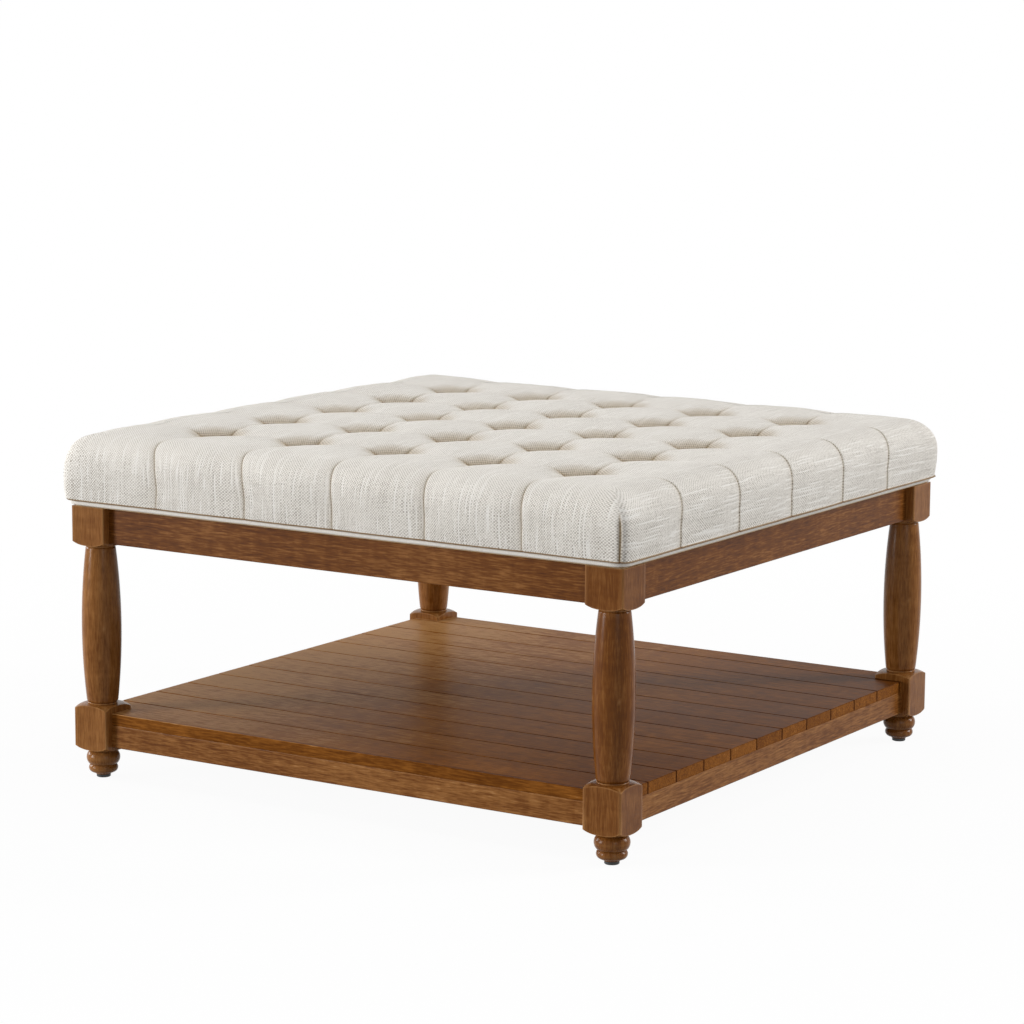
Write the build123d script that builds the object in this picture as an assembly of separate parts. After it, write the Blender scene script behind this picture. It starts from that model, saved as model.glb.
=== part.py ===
from build123d import *
import math
import os

# A square ottoman coffee table: a tufted cushion on a plywood deck, carried by four aprons between four
# turned legs, with a planked shelf between the lower leg blocks. X runs left to right along the front,
# Y from front to back and Z up. The origin is on the floor, under the middle of the table. Sizes are in mm.

# Overall sizes, measured over the outer faces of the leg blocks
table_width = 900.0
table_depth = 900.0

# Legs: one square stock each, turned to two blocks, a baluster and a bun foot
stock = 57.0
stock_edge_round = 2.0
upper_block_height = 56.5
lower_block_height = 66.0
baluster_length = 228.0
baluster_diameter = 56.0
baluster_top_diameter = 42.8
baluster_base_diameter = 44.6
baluster_end_diameter = 39.6
baluster_end_round = 3.5
neck_ring_diameter = 42.4
neck_ring_height = 2.0
shoulder_radius = 29.0
shoulder_start_diameter = 44.0

# The turned curves are cut as short straight tapers, which stand off the true arcs by no more than this
turning_flat = 0.25

# Bun foot, from the block down
foot_neck_diameter = 38.0
foot_neck_height = 2.3
bead_diameter = 47.7
bead_height = 20.7
bead_neck_diameter = 37.5
disc_diameter = 41.3
disc_height = 11.5
disc_base_diameter = 31.0
foot_pad_diameter = 22.0
foot_pad_height = 2.5

# Nail-on glide
glide_diameter = 20.0
glide_height = 4.5
glide_edge_bevel = 0.8
glide_nail_diameter = 2.6
glide_nail_hole_depth = 14.0
glide_nail_clearance = 0.1
glide_nail_end_gap = 1.0

# Rails
rail_recess = 13.0
rail_thickness = 20.0
rail_edge_round = 1.5
apron_height = 52.0
shelf_rail_height = 33.0

# Corner braces and their hanger bolts
brace_thickness = 24.0
brace_flat_depth = 8.0
brace_flat_margin = 1.0
apron_brace_height = 42.0
shelf_brace_height = 27.0
bolt_diameter = 8.0
bolt_embed = 34.0
bolt_tail = 5.0
bolt_clearance = 0.5
bolt_thread_clearance = 0.1
washer_diameter = 20.0
washer_thickness = 1.6
nut_across_flats = 13.0
nut_height = 6.5

# Shelf
plank_thickness = 16.0
plank_pitch = 74.4
plank_gap = 2.0
front_plank_width = 78.0
plank_edge_bevel = 0.7
plank_notch_clearance = 0.5
batten_width = 45.0
batten_thickness = 18.0
batten_spacing = 300.0

# Deck, its screws and the dust cover
deck_thickness = 15.0
deck_inset = 3.0
deck_corner_round = 6.0
screw_diameter = 4.0
screw_grip = 10.0
screw_head_diameter = 8.0
screw_head_height = 2.5
screw_clearance = 0.4
screw_pilot_clearance = 0.1
screw_spread = 56.0
dust_cover_thickness = 0.8
dust_cover_clearance = 1.0

# Welt cord round the deck's edge
welt_diameter = 8.0
welt_sides = 12
welt_corner_radius = 10.0
welt_clearance = 0.3
welt_floor_gap = 0.4

# Tufted pad: cover and wadding over the foam
pad_width = 928.0
pad_depth = 928.0
pad_height = 103.0
pad_crown = 3.0
pad_base_gap = 0.5
pad_base_inset = 6.0
pad_shoulder_inset = 2.5
pad_bulge_rise = 36.0
pad_shoulder_rise = 62.0
pad_fit_clearance = 0.3
edge_round = 32.0
edge_drop = 5.0
edge_ledge_drop = 4.0
corner_tuck = 1.5
pleat_depth = 7.0
base_pleat_depth = 2.0
tuft_pitch = 151.0
tuft_count = 5
tuft_depth = 31.0
crease_depth = 11.0

# Where the pad's sections stand: the share of the way to the next tuft row, and how full the pillows are
# there, from 0 along the row's crease to 1 in mid pillow
inner_section_shares = [(0.0, 0.0), (0.18, 0.6), (0.5, 1.0), (0.82, 0.6)]
outer_section_shares = [(0.22, 0.6), (0.6, 1.0), (1.0, 1.0)]
edge_section_shares = [0.33, 0.6, 0.85]
last_section_share = 0.97
edge_middle_share = 0.55

# Foam core, tufting twine and anchor plates
foam_inset = 37.0
foam_height = 44.0
foam_clearance = 0.3
twine_diameter = 3.0
twine_sides = 6
twine_clearance = 0.2
anchor_size = 16.0
anchor_thickness = 2.0

# How far a cutting or trimming solid runs past what it cuts
overrun = 10.0

# Places worked out from the sizes above
half_width = table_width / 2
half_depth = table_depth / 2
half_stock = stock / 2
block_corner = half_stock * math.sqrt(2)
turning_reach = block_corner + stock_edge_round

foot_base = glide_height
disc_base = foot_base + foot_pad_height
bead_base = disc_base + disc_height
foot_neck_base = bead_base + bead_height
lower_block_base = foot_neck_base + foot_neck_height
lower_block_top = lower_block_base + lower_block_height
upper_block_base = lower_block_top + baluster_length
frame_top = upper_block_base + upper_block_height

rail_outer_x = half_width - rail_recess
rail_outer_y = half_depth - rail_recess
rail_inner_x = rail_outer_x - rail_thickness
rail_inner_y = rail_outer_y - rail_thickness
block_inner_x = half_width - stock
block_inner_y = half_depth - stock
deck_top = frame_top + deck_thickness
apron_base = frame_top - apron_height
foam_top = deck_top + foam_height
pad_base = frame_top + welt_diameter + welt_floor_gap + pad_base_gap
pad_crest = frame_top + pad_height
pad_shoulder = pad_base + pad_shoulder_rise
foam_half_x = half_width - deck_inset - foam_inset
foam_half_y = half_depth - deck_inset - foam_inset

# Each corner: its name, the signs of its x and y, and the turn that brings the pattern corner there
corners = [
    ("back_right", 1, 1, 0),
    ("back_left", -1, 1, 90),
    ("front_left", -1, -1, 180),
    ("front_right", 1, -1, 270),
]


def shoulder_drop(radius):
    """How far the turned shoulder falls between its flat start and the given radius."""
    run = radius - shoulder_start_diameter / 2
    return shoulder_radius - math.sqrt(shoulder_radius**2 - run**2)


# The shelf's underside is level with the corners of the lower blocks
shelf_base = lower_block_base + shoulder_drop(block_corner)
plank_base = shelf_base + shelf_rail_height
shelf_top = plank_base + plank_thickness


def outline(start, *steps, tapered=False):
    """A closed face in the XZ plane. A step of one point is a straight run to it, and a step of two is an
    arc through the first point to the second, which becomes a chain of straight tapers if asked."""
    edges = []
    here = start
    for step in steps:
        there = step[-1]
        if len(step) == 1:
            edges.append(Line(flat(here), flat(there)))
        elif tapered:
            edges += tapers(ThreePointArc(flat(here), flat(step[0]), flat(there)))
        else:
            edges.append(ThreePointArc(flat(here), flat(step[0]), flat(there)))
        here = there
    edges.append(Line(flat(here), flat(start)))
    return make_face(edges)


def tapers(arc):
    """Straight runs along an arc, as few as keep the turning's flats as shallow as they should be."""
    longest = 2 * math.acos(1 - turning_flat / arc.radius) * arc.radius
    count = math.ceil(arc.length / longest)
    points = [arc @ (k / count) for k in range(count + 1)]
    return [Line(a, b) for a, b in zip(points, points[1:])]


def flat(point):
    return Vector(point[0], 0, point[1])


def at_corner(shape, corner):
    """Places a shape, drawn about the axis of the back right leg, at one corner of the table."""
    name, side_x, side_y, turn = corner
    place = Pos(side_x * (half_width - half_stock), side_y * (half_depth - half_stock), 0)
    return place * Rot(0, 0, turn) * shape


def across_corner(radius, start, length, height):
    """A round bar that points at the table's middle from a leg's axis, starting so far along that line."""
    bar = Cylinder(radius, length, align=(Align.CENTER, Align.CENTER, Align.MIN))
    return Pos(0, 0, height) * Rot(0, 0, 45) * Rot(0, -90, 0) * Pos(0, 0, start) * bar


def box_between(low, high):
    size = [b - a for a, b in zip(low, high)]
    middle = [(a + b) / 2 for a, b in zip(low, high)]
    return Pos(*middle) * Box(*size)


# Legs

brace_face = block_corner - brace_flat_depth
brace_back = brace_face + brace_thickness


def shoulder_arc(neck_z, way):
    """The turned shoulder between its neck and the block's faces, rising for way 1 and falling for -1."""
    middle = (shoulder_start_diameter / 2 + turning_reach) / 2
    return [
        (middle, neck_z + way * shoulder_drop(middle)),
        (turning_reach, neck_z + way * shoulder_drop(turning_reach)),
    ]


def turned_outline():
    """Half the leg's turned section, from the foot pad up to the top of the upper block."""
    shoulder_start = shoulder_start_diameter / 2
    ring = neck_ring_diameter / 2
    end = baluster_end_diameter / 2
    low_ring_top = lower_block_top + neck_ring_height
    high_ring_base = upper_block_base - neck_ring_height
    low_end = low_ring_top + baluster_end_round
    high_end = high_ring_base - baluster_end_round
    base_radius = baluster_base_diameter / 2
    top_radius = baluster_top_diameter / 2
    round_share = 0.72
    low_round = (end + (base_radius - end) * round_share, (low_ring_top + low_end) / 2)
    high_round = (end + (top_radius - end) * round_share, (high_ring_base + high_end) / 2)
    lower_up = shoulder_arc(lower_block_base, 1)
    lower_down = shoulder_arc(lower_block_top, -1)
    upper_up = shoulder_arc(upper_block_base, 1)
    return outline(
        (0, foot_base),
        [(foot_pad_diameter / 2, foot_base)],
        [(foot_pad_diameter / 2, disc_base)],
        [(disc_base_diameter / 2, disc_base)],
        [(disc_diameter / 2, (disc_base + bead_base) / 2), (bead_neck_diameter / 2, bead_base)],
        [(bead_diameter / 2, (bead_base + foot_neck_base) / 2), (bead_neck_diameter / 2, foot_neck_base)],
        [(foot_neck_diameter / 2, foot_neck_base)],
        [(foot_neck_diameter / 2, lower_block_base)],
        [(shoulder_start, lower_block_base)],
        lower_up,
        [(turning_reach, lower_down[-1][1])],
        [lower_down[0], (shoulder_start, lower_block_top)],
        [(ring, lower_block_top)],
        [(ring, low_ring_top)],
        [(end, low_ring_top)],
        [low_round, (base_radius, low_end)],
        [(baluster_diameter / 2, (low_end + high_end) / 2), (top_radius, high_end)],
        [high_round, (end, high_ring_base)],
        [(ring, high_ring_base)],
        [(ring, upper_block_base)],
        [(shoulder_start, upper_block_base)],
        upper_up,
        [(turning_reach, frame_top)],
        [(0, frame_top)],
        tapered=True,
    )


def brace_heights():
    """The lowest and highest z of the lower and the upper braces."""
    shelf_low = shelf_base + (shelf_rail_height - shelf_brace_height) / 2
    return [(shelf_low, shelf_low + shelf_brace_height), (frame_top - apron_brace_height, frame_top)]


def leg():
    """A turned leg with a flat behind each block for its brace, and holes for the bolts and the nail."""
    turned = revolve(turned_outline(), Axis.Z, 360)
    square = extrude(RectangleRounded(stock, stock, stock_edge_round), frame_top)
    shape = turned & square
    hole = bolt_diameter / 2 + bolt_thread_clearance
    for low, high in brace_heights():
        flat_low = low - brace_flat_margin
        flat_high = high + brace_flat_margin
        flat_depth = brace_flat_depth + overrun
        relief = Box(flat_depth, stock, flat_high - flat_low)
        relief = Pos(brace_face + flat_depth / 2, 0, (flat_low + flat_high) / 2) * relief
        shape -= Rot(0, 0, 225) * relief
        bore = brace_face - bolt_embed
        shape -= across_corner(hole, bore, bolt_embed + overrun, (low + high) / 2)
    nail_hole = Cylinder(
        glide_nail_diameter / 2 + glide_nail_clearance,
        glide_nail_hole_depth,
        align=(Align.CENTER, Align.CENTER, Align.MIN),
    )
    return shape - Pos(0, 0, foot_base) * nail_hole


def glide():
    """A plastic disc with its nail, driven into the foot."""
    disc = Cylinder(glide_diameter / 2, glide_height, align=(Align.CENTER, Align.CENTER, Align.MIN))
    disc = chamfer(disc.edges().group_by(Axis.Z)[0], glide_edge_bevel)
    nail_length = glide_nail_hole_depth - glide_nail_end_gap
    nail = Cylinder(glide_nail_diameter / 2, nail_length, align=(Align.CENTER, Align.CENTER, Align.MIN))
    return disc + Pos(0, 0, glide_height) * nail


# Rails

def rail(length, thickness, height):
    """A rail along X about its own middle, standing on z = 0, with its long outer edges eased."""
    body = Box(length, thickness, height, align=(Align.CENTER, Align.CENTER, Align.MIN))
    long_edges = body.edges().filter_by(Axis.X)
    return fillet(long_edges.sort_by(Axis.Y)[:2], rail_edge_round)


def rails(name, base, height):
    """The four rails of one frame, each stopped against the leg blocks."""
    along = rail(2 * block_inner_x, rail_thickness, height)
    across = rail(2 * block_inner_y, rail_thickness, height)
    middle_x = rail_outer_x - rail_thickness / 2
    middle_y = rail_outer_y - rail_thickness / 2
    return {
        name + "_front": Pos(0, -middle_y, base) * along,
        name + "_back": Pos(0, middle_y, base) * Rot(0, 0, 180) * along,
        name + "_left": Pos(-middle_x, 0, base) * Rot(0, 0, -90) * across,
        name + "_right": Pos(middle_x, 0, base) * Rot(0, 0, 90) * across,
    }


# Corner braces and bolts

def brace(low, high, screwed):
    """A brace across a corner, mitred to the rails' inner faces, with a bolt hole through it."""
    wall = half_stock - rail_recess - rail_thickness
    near = brace_face * math.sqrt(2)
    far = brace_back * math.sqrt(2)
    plan = Polyline(
        (wall, -near - wall), (wall, -far - wall), (-far - wall, wall), (-near - wall, wall), close=True
    )
    shape = Pos(0, 0, low) * extrude(make_face(plan), high - low)
    hole = bolt_diameter / 2 + bolt_clearance
    shape -= across_corner(hole, brace_face - overrun, brace_thickness + 2 * overrun, (low + high) / 2)
    if screwed:
        for x, y in screw_places():
            shank = screw_diameter / 2 + screw_clearance
            shape -= Pos(x, y, (low + high) / 2) * Cylinder(shank, high - low + overrun)
    return shape


def screw_places():
    """The two deck screws of a brace, either side of its bolt, about the leg's axis."""
    inward = -(brace_face + brace_back) / 2 / math.sqrt(2)
    aside = screw_spread / 2 / math.sqrt(2)
    return [(inward - aside, inward + aside), (inward + aside, inward - aside)]


def hanger_bolt(low, high):
    start = brace_face - bolt_embed
    length = bolt_embed + brace_thickness + washer_thickness + nut_height + bolt_tail
    return across_corner(bolt_diameter / 2, start, length, (low + high) / 2)


def washer(low, high):
    height = (low + high) / 2
    disc = across_corner(washer_diameter / 2, brace_back, washer_thickness, height)
    hole = bolt_diameter / 2 + bolt_clearance
    return disc - across_corner(hole, brace_back - overrun, washer_thickness + 2 * overrun, height)


def nut(low, high):
    start = brace_back + washer_thickness
    prism = extrude(RegularPolygon(nut_across_flats / 2, 6, major_radius=False), nut_height)
    height = (low + high) / 2
    prism = Pos(0, 0, height) * Rot(0, 0, 45) * Rot(0, -90, 0) * Pos(0, 0, start) * prism
    hole = bolt_diameter / 2 + bolt_thread_clearance
    return prism - across_corner(hole, start - overrun, nut_height + 2 * overrun, height)


def deck_screw():
    """A screw that stands head down, with its head under the brace and its tip in the deck."""
    length = apron_brace_height + screw_grip
    shank = Cylinder(screw_diameter / 2, length, align=(Align.CENTER, Align.CENTER, Align.MIN))
    head = Cylinder(
        screw_head_diameter / 2, screw_head_height, align=(Align.CENTER, Align.CENTER, Align.MAX)
    )
    return Pos(0, 0, frame_top - apron_brace_height) * (shank + head)


# Shelf

def planks():
    """Planks along X, the front one widest and the back one ripped to what is left, the end ones notched
    round the leg blocks."""
    shapes = {}
    front = -rail_outer_y
    width = front_plank_width
    number = 1
    while front < rail_outer_y:
        back = min(front + width, rail_outer_y)
        board = box_between((-rail_outer_x, front, plank_base), (rail_outer_x, back, shelf_top))
        top_edges = board.edges().group_by(Axis.Z)[-1]
        board = chamfer(top_edges, plank_edge_bevel)
        if front < -block_inner_y or back > block_inner_y:
            for corner in corners:
                board -= notch(corner)
        shapes[f"plank_{number:02d}"] = board
        front = back + plank_gap
        width = plank_pitch - plank_gap
        number += 1
    return shapes


def notch(corner):
    """The space that a leg block takes out of the shelf, with its clearance."""
    name, side_x, side_y, turn = corner
    near_x = block_inner_x - plank_notch_clearance
    near_y = block_inner_y - plank_notch_clearance
    x = sorted((side_x * near_x, side_x * (half_width + overrun)))
    y = sorted((side_y * near_y, side_y * (half_depth + overrun)))
    return box_between((x[0], y[0], plank_base - overrun), (x[1], y[1], shelf_top + overrun))


def batten(x):
    low = (x - batten_width / 2, -rail_inner_y, plank_base - batten_thickness)
    high = (x + batten_width / 2, rail_inner_y, plank_base)
    return box_between(low, high)


# Deck

def tuft_places():
    return [(x, y) for y in tuft_lines() for x in tuft_lines()]


def twine_holes(base, height):
    radius = twine_diameter / 2 + twine_clearance
    hole = extrude(RegularPolygon(radius, twine_sides), height + 2 * overrun)
    return [Pos(x, y, base - overrun) * hole for x, y in tuft_places()]


def deck():
    """The plywood deck under the cushion, drilled for the twines and for the deck screws' tips."""
    plan = RectangleRounded(table_width - 2 * deck_inset, table_depth - 2 * deck_inset, deck_corner_round)
    board = Pos(0, 0, frame_top) * extrude(plan, deck_thickness)
    board -= twine_holes(frame_top, deck_thickness)
    radius = screw_diameter / 2 + screw_pilot_clearance
    pilot = Cylinder(radius, screw_grip, align=(Align.CENTER, Align.CENTER, Align.MIN))
    for corner in corners:
        for x, y in screw_places():
            board -= at_corner(Pos(x, y, frame_top) * pilot, corner)
    return board


def dust_cover():
    """Thin cloth under the deck and its anchor plates, cut across the corners to clear the braces."""
    x = rail_inner_x - dust_cover_clearance
    y = rail_inner_y - dust_cover_clearance
    leg_axes = table_width / 2 + table_depth / 2 - stock
    corner_line = leg_axes - brace_back * math.sqrt(2) - dust_cover_clearance
    cut = x + y - corner_line
    plan = Polyline(
        (x - cut, -y),
        (x, cut - y),
        (x, y - cut),
        (x - cut, y),
        (cut - x, y),
        (-x, y - cut),
        (-x, cut - y),
        (cut - x, -y),
        close=True,
    )
    base = frame_top - anchor_thickness - dust_cover_thickness
    return Pos(0, 0, base) * extrude(make_face(plan), dust_cover_thickness)


def welt():
    """A cord round the deck's edge, between the cover's skirt and the frame."""
    offset = welt_clearance + welt_diameter / 2
    x = half_width - deck_inset + offset
    y = half_depth - deck_inset + offset
    height = frame_top + welt_floor_gap + welt_diameter / 2
    path = RectangleRounded(2 * x, 2 * y, welt_corner_radius).wire()
    section = Pos(0, -y, 0) * Rot(0, 90, 0) * RegularPolygon(welt_diameter / 2, welt_sides)
    return Pos(0, 0, height) * sweep(section, path)


# Tufted pad

def tuft_lines():
    """The x of each tuft column, which is also the y of each row."""
    return [(k - (tuft_count - 1) / 2) * tuft_pitch for k in range(tuft_count)]


def crest(x, y):
    """The pillows' crest height, which falls a little from the pad's middle to its edges."""
    share = max(abs(x) / (pad_width / 2), abs(y) / (pad_depth / 2))
    return pad_crest - pad_crown * share**2


def top_section(y, fullness, edge_share):
    """The pad's outline across X at one y. Its creases are deepest at the tufts, where fullness is 0, and
    edge_share is how far the section lies round the front or back edge, 1 being a right angle."""
    swell = math.cos(edge_share * math.pi / 2)

    def settle(z):
        return pad_shoulder + (z - pad_shoulder) * swell

    row_drop = crease_depth * (1 - fullness)
    crease_drop = tuft_depth + (crease_depth - tuft_depth) * fullness
    brow = pad_width / 2 - edge_round
    reach = (edge_round - pleat_depth * (1 - fullness)) * swell
    brow_z = settle(crest(brow, 0) - edge_drop - row_drop)
    turn = edge_middle_share * math.pi / 2
    edge_middle = brow + reach * math.sin(turn)
    edge_middle_z = pad_shoulder + (brow_z - pad_shoulder) * math.cos(turn)
    ledge = (pad_width / 2 + overrun, pad_shoulder - edge_ledge_drop)
    floor_z = pad_base - overrun

    steps = [[(-ledge[0], ledge[1])], [(-brow - reach, pad_shoulder)]]
    steps.append([(-edge_middle, edge_middle_z), (-brow, brow_z)])
    last = -brow
    for x in tuft_lines():
        middle = (last + x) / 2
        steps.append([(middle, settle(crest(middle, y) - row_drop)), (x, settle(crest(x, y) - crease_drop))])
        last = x
    middle = (last + brow) / 2
    steps.append([(middle, settle(crest(middle, y) - row_drop)), (brow, brow_z)])
    steps.append([(edge_middle, edge_middle_z), (brow + reach, pad_shoulder)])
    steps += [[ledge], [(ledge[0], floor_z)]]
    return Pos(0, y, 0) * outline((-ledge[0], floor_z), *steps)


def top_sections():
    """The pad's sections from front to back: round the front edge, over the pillows and round the back."""
    rows = tuft_lines()
    inner = [(y + share * tuft_pitch, full, 0) for y in rows[:-1] for share, full in inner_section_shares]
    inner.append((rows[-1], 0, 0))
    brow = pad_depth / 2 - edge_round
    outer = [(rows[-1] + share * (brow - rows[-1]), full, 0) for share, full in outer_section_shares]
    outer += [(brow + edge_round * math.sin(share * math.pi / 2), 1, share) for share in edge_section_shares]
    outer.append((pad_depth / 2 + overrun, 1, last_section_share))
    front = [(-y, full, share) for y, full, share in reversed(outer)]
    return [top_section(*place) for place in front + inner + outer]


def wall_side(half_x, half_y, pleat):
    """The front of a scalloped outline, left to right, with the corner that ends it, as arcs of three
    points: the pillows' sides swell between the pleats."""
    corner_x = half_x - edge_round
    corner_y = half_y - edge_round
    here = (-corner_x, corner_tuck - half_y)
    last = -corner_x
    arcs = []
    for x in tuft_lines():
        there = (x, pleat - half_y)
        arcs.append((here, ((last + x) / 2, -half_y), there))
        here = there
        last = x
    there = (corner_x, corner_tuck - half_y)
    arcs.append((here, ((last + corner_x) / 2, -half_y), there))
    bow = (edge_round - corner_tuck) * math.sqrt(1 / 2)
    arcs.append((there, (corner_x + bow, -corner_y - bow), (half_x - corner_tuck, -corner_y)))
    return arcs


def wall_outline(z, inset, pleat):
    """The pad's outline in plan at one height, drawn in by inset all round."""
    half_x = pad_width / 2 - inset
    half_y = pad_depth / 2 - inset
    edges = []
    for quarter in range(4):
        sides = (half_x, half_y) if quarter % 2 == 0 else (half_y, half_x)
        turn = Rot(0, 0, 90 * quarter)
        for arc in wall_side(*sides, pleat):
            edges.append(turn * ThreePointArc(*[Vector(x, y, z) for x, y in arc]))
    return make_face(edges)


def pad():
    """The cover and its wadding: pillows between 25 tufts, pleats over the edges, sides drawn in at the
    base, and a hollow underneath for the foam and the deck's edge."""
    top = loft(top_sections(), ruled=True)
    levels = [
        (pad_base, pad_base_inset, base_pleat_depth),
        (pad_base + pad_bulge_rise, 0, pleat_depth),
        (pad_shoulder, pad_shoulder_inset, pleat_depth),
        (pad_crest + overrun, pad_shoulder_inset, pleat_depth),
    ]
    wall = loft([wall_outline(*level) for level in levels], ruled=True)
    x = half_width - deck_inset + pad_fit_clearance
    y = half_depth - deck_inset + pad_fit_clearance
    rebate = box_between((-x, -y, pad_base - overrun), (x, y, deck_top))
    x = foam_half_x + foam_clearance
    y = foam_half_y + foam_clearance
    hollow = box_between((-x, -y, deck_top - overrun), (x, y, foam_top))
    return (top & wall) - rebate - hollow


def foam():
    """The foam core on the deck, pierced where the twines pass."""
    core = box_between((-foam_half_x, -foam_half_y, deck_top), (foam_half_x, foam_half_y, foam_top))
    return core - twine_holes(deck_top, foam_height)


def twines():
    """Each twine pulls one tuft down through the foam and the deck to its anchor plate."""
    twine = extrude(RegularPolygon(twine_diameter / 2, twine_sides), foam_top - frame_top)
    return Compound([Pos(x, y, frame_top) * twine for x, y in tuft_places()])


def anchors():
    plate = Box(anchor_size, anchor_size, anchor_thickness, align=(Align.CENTER, Align.CENTER, Align.MAX))
    return Compound([Pos(x, y, frame_top) * plate for x, y in tuft_places()])


# Writes each sub-part to its own file

def build():
    shapes = {}
    low_brace, high_brace = brace_heights()
    one_leg = leg()
    for corner in corners:
        name = corner[0]
        shapes["leg_" + name] = at_corner(one_leg, corner)
        shapes["glide_" + name] = at_corner(glide(), corner)
        shapes["shelf_brace_" + name] = at_corner(brace(*low_brace, False), corner)
        shapes["apron_brace_" + name] = at_corner(brace(*high_brace, True), corner)
    shapes.update(rails("apron", apron_base, apron_height))
    shapes.update(rails("shelf_rail", shelf_base, shelf_rail_height))
    shapes.update(planks())
    shapes["batten_left"] = batten(-batten_spacing / 2)
    shapes["batten_right"] = batten(batten_spacing / 2)
    levels = [(corner, level) for corner in corners for level in (low_brace, high_brace)]
    shapes["hanger_bolts"] = Compound([at_corner(hanger_bolt(*level), corner) for corner, level in levels])
    shapes["washers"] = Compound([at_corner(washer(*level), corner) for corner, level in levels])
    shapes["nuts"] = Compound([at_corner(nut(*level), corner) for corner, level in levels])
    screws = [Pos(x, y, 0) * deck_screw() for x, y in screw_places()]
    shapes["deck_screws"] = Compound([at_corner(screw, corner) for corner in corners for screw in screws])
    shapes["deck"] = deck()
    shapes["dust_cover"] = dust_cover()
    shapes["welt"] = welt()
    shapes["tufted_pad"] = pad()
    shapes["foam_core"] = foam()
    shapes["tuft_twines"] = twines()
    shapes["tuft_anchors"] = anchors()
    return shapes


os.makedirs("parts", exist_ok=True)
for node, shape in build().items():
    export_step(shape, f"parts/{node}.step")
    print(node, round(shape.volume))
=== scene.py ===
# %% [markdown]
# # A tufted ottoman coffee table, piece by piece
#
# The table's construction comes ready made: the frame holds every solid part at its real size and place.
# This lesson dresses it. It sets up a camera, a plain studio and a small language for shader arithmetic,
# then makes the wood, the turned legs, the tufted linen cushion and its welt cord.

# %% Load the frame
import math

import bmesh
import bpy
import numpy as np
from mathutils import Matrix, Vector


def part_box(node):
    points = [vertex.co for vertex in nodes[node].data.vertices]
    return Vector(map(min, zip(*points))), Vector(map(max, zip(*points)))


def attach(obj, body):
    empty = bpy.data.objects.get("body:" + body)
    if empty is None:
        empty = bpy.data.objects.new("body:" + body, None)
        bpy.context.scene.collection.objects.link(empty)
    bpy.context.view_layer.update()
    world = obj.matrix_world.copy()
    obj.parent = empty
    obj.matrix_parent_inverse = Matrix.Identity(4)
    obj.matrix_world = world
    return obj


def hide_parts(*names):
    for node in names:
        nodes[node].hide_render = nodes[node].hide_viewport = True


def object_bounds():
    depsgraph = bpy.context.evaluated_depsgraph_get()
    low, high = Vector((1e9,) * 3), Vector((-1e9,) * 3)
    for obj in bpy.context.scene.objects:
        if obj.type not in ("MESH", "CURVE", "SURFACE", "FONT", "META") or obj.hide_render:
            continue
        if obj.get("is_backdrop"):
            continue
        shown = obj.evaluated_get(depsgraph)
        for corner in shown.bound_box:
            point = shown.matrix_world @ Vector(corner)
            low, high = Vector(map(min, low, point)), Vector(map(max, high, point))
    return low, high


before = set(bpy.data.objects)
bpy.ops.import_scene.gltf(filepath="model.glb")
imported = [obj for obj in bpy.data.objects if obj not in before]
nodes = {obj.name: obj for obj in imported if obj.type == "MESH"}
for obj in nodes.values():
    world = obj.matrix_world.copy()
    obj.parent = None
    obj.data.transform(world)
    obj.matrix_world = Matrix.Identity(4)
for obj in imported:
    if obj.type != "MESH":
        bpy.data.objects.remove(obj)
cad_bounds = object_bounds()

mm = 0.001
print("parts in the frame:", len(nodes))

# %% [markdown]
# ## The camera
#
# A photograph fixes where its camera stood. The edges of the leg blocks, the shelf and the rows of tufts
# were matched to their places in the picture, which gives the turn round the table, the height above the
# horizon, the lens and the distance. A long lens far away keeps upright edges nearly parallel, as product
# photographs do. The distance and the aim are shares of the table's width, so that they follow its size.

# %% Camera
table_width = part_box("leg_front_right")[1].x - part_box("leg_front_left")[0].x
camera_turn = math.radians(32.447)
camera_rise = math.radians(9.146)
camera_roll = math.radians(0.390)
focal_length_px = 3259.3
picture_px = 1024
sensor_mm = 36
camera_distance_share = 5.24416
aim_shares = (-0.00296, 0.0, 0.40455)


def direction(turn, rise):
    """Unit vector to a place at this turn round the table, from its front, and rise above the horizon."""
    return Vector((math.sin(turn) * math.cos(rise), -math.cos(turn) * math.cos(rise), math.sin(rise)))


def camera_axes(turn, rise, roll):
    """Right, up and backward directions of a camera: backward points from the table to the camera at the
    given turn and rise, right is level, and the roll then turns right and up about backward."""
    back = direction(turn, rise)
    right = Vector((math.cos(turn), math.sin(turn), 0))
    up = back.cross(right)
    rolled_right = right * math.cos(roll) + up * math.sin(roll)
    rolled_up = up * math.cos(roll) - right * math.sin(roll)
    return rolled_right, rolled_up, back


right, up, back = camera_axes(camera_turn, camera_rise, camera_roll)
place = Vector(aim_shares) * table_width + back * camera_distance_share * table_width
lens = bpy.data.cameras.new("portrait_lens")
lens.sensor_width = sensor_mm
lens.lens = focal_length_px / picture_px * sensor_mm
lens.clip_end = 100
camera = bpy.data.objects.new("portrait_camera", lens)
camera.matrix_world = Matrix.Translation(place) @ Matrix((right, up, back)).transposed().to_4x4()
bpy.context.scene.collection.objects.link(camera)
bpy.context.scene.camera = camera
bpy.context.scene.view_settings.view_transform = "Standard"
print("camera at", [round(c, 3) for c in place], "lens", round(lens.lens, 1), "mm")

# %% [markdown]
# ## Arithmetic for shaders
#
# A finish is a formula: so much of this pattern, times that one, plus a little noise. Node trees hide such
# formulas in boxes and wires. A small class can wrap one output socket and take over the arithmetic signs,
# so that writing `1 - mask * 0.5` adds the right Math nodes. Colours and vectors must not go through a
# Math node, which would turn them grey, so they have methods of their own.

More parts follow.
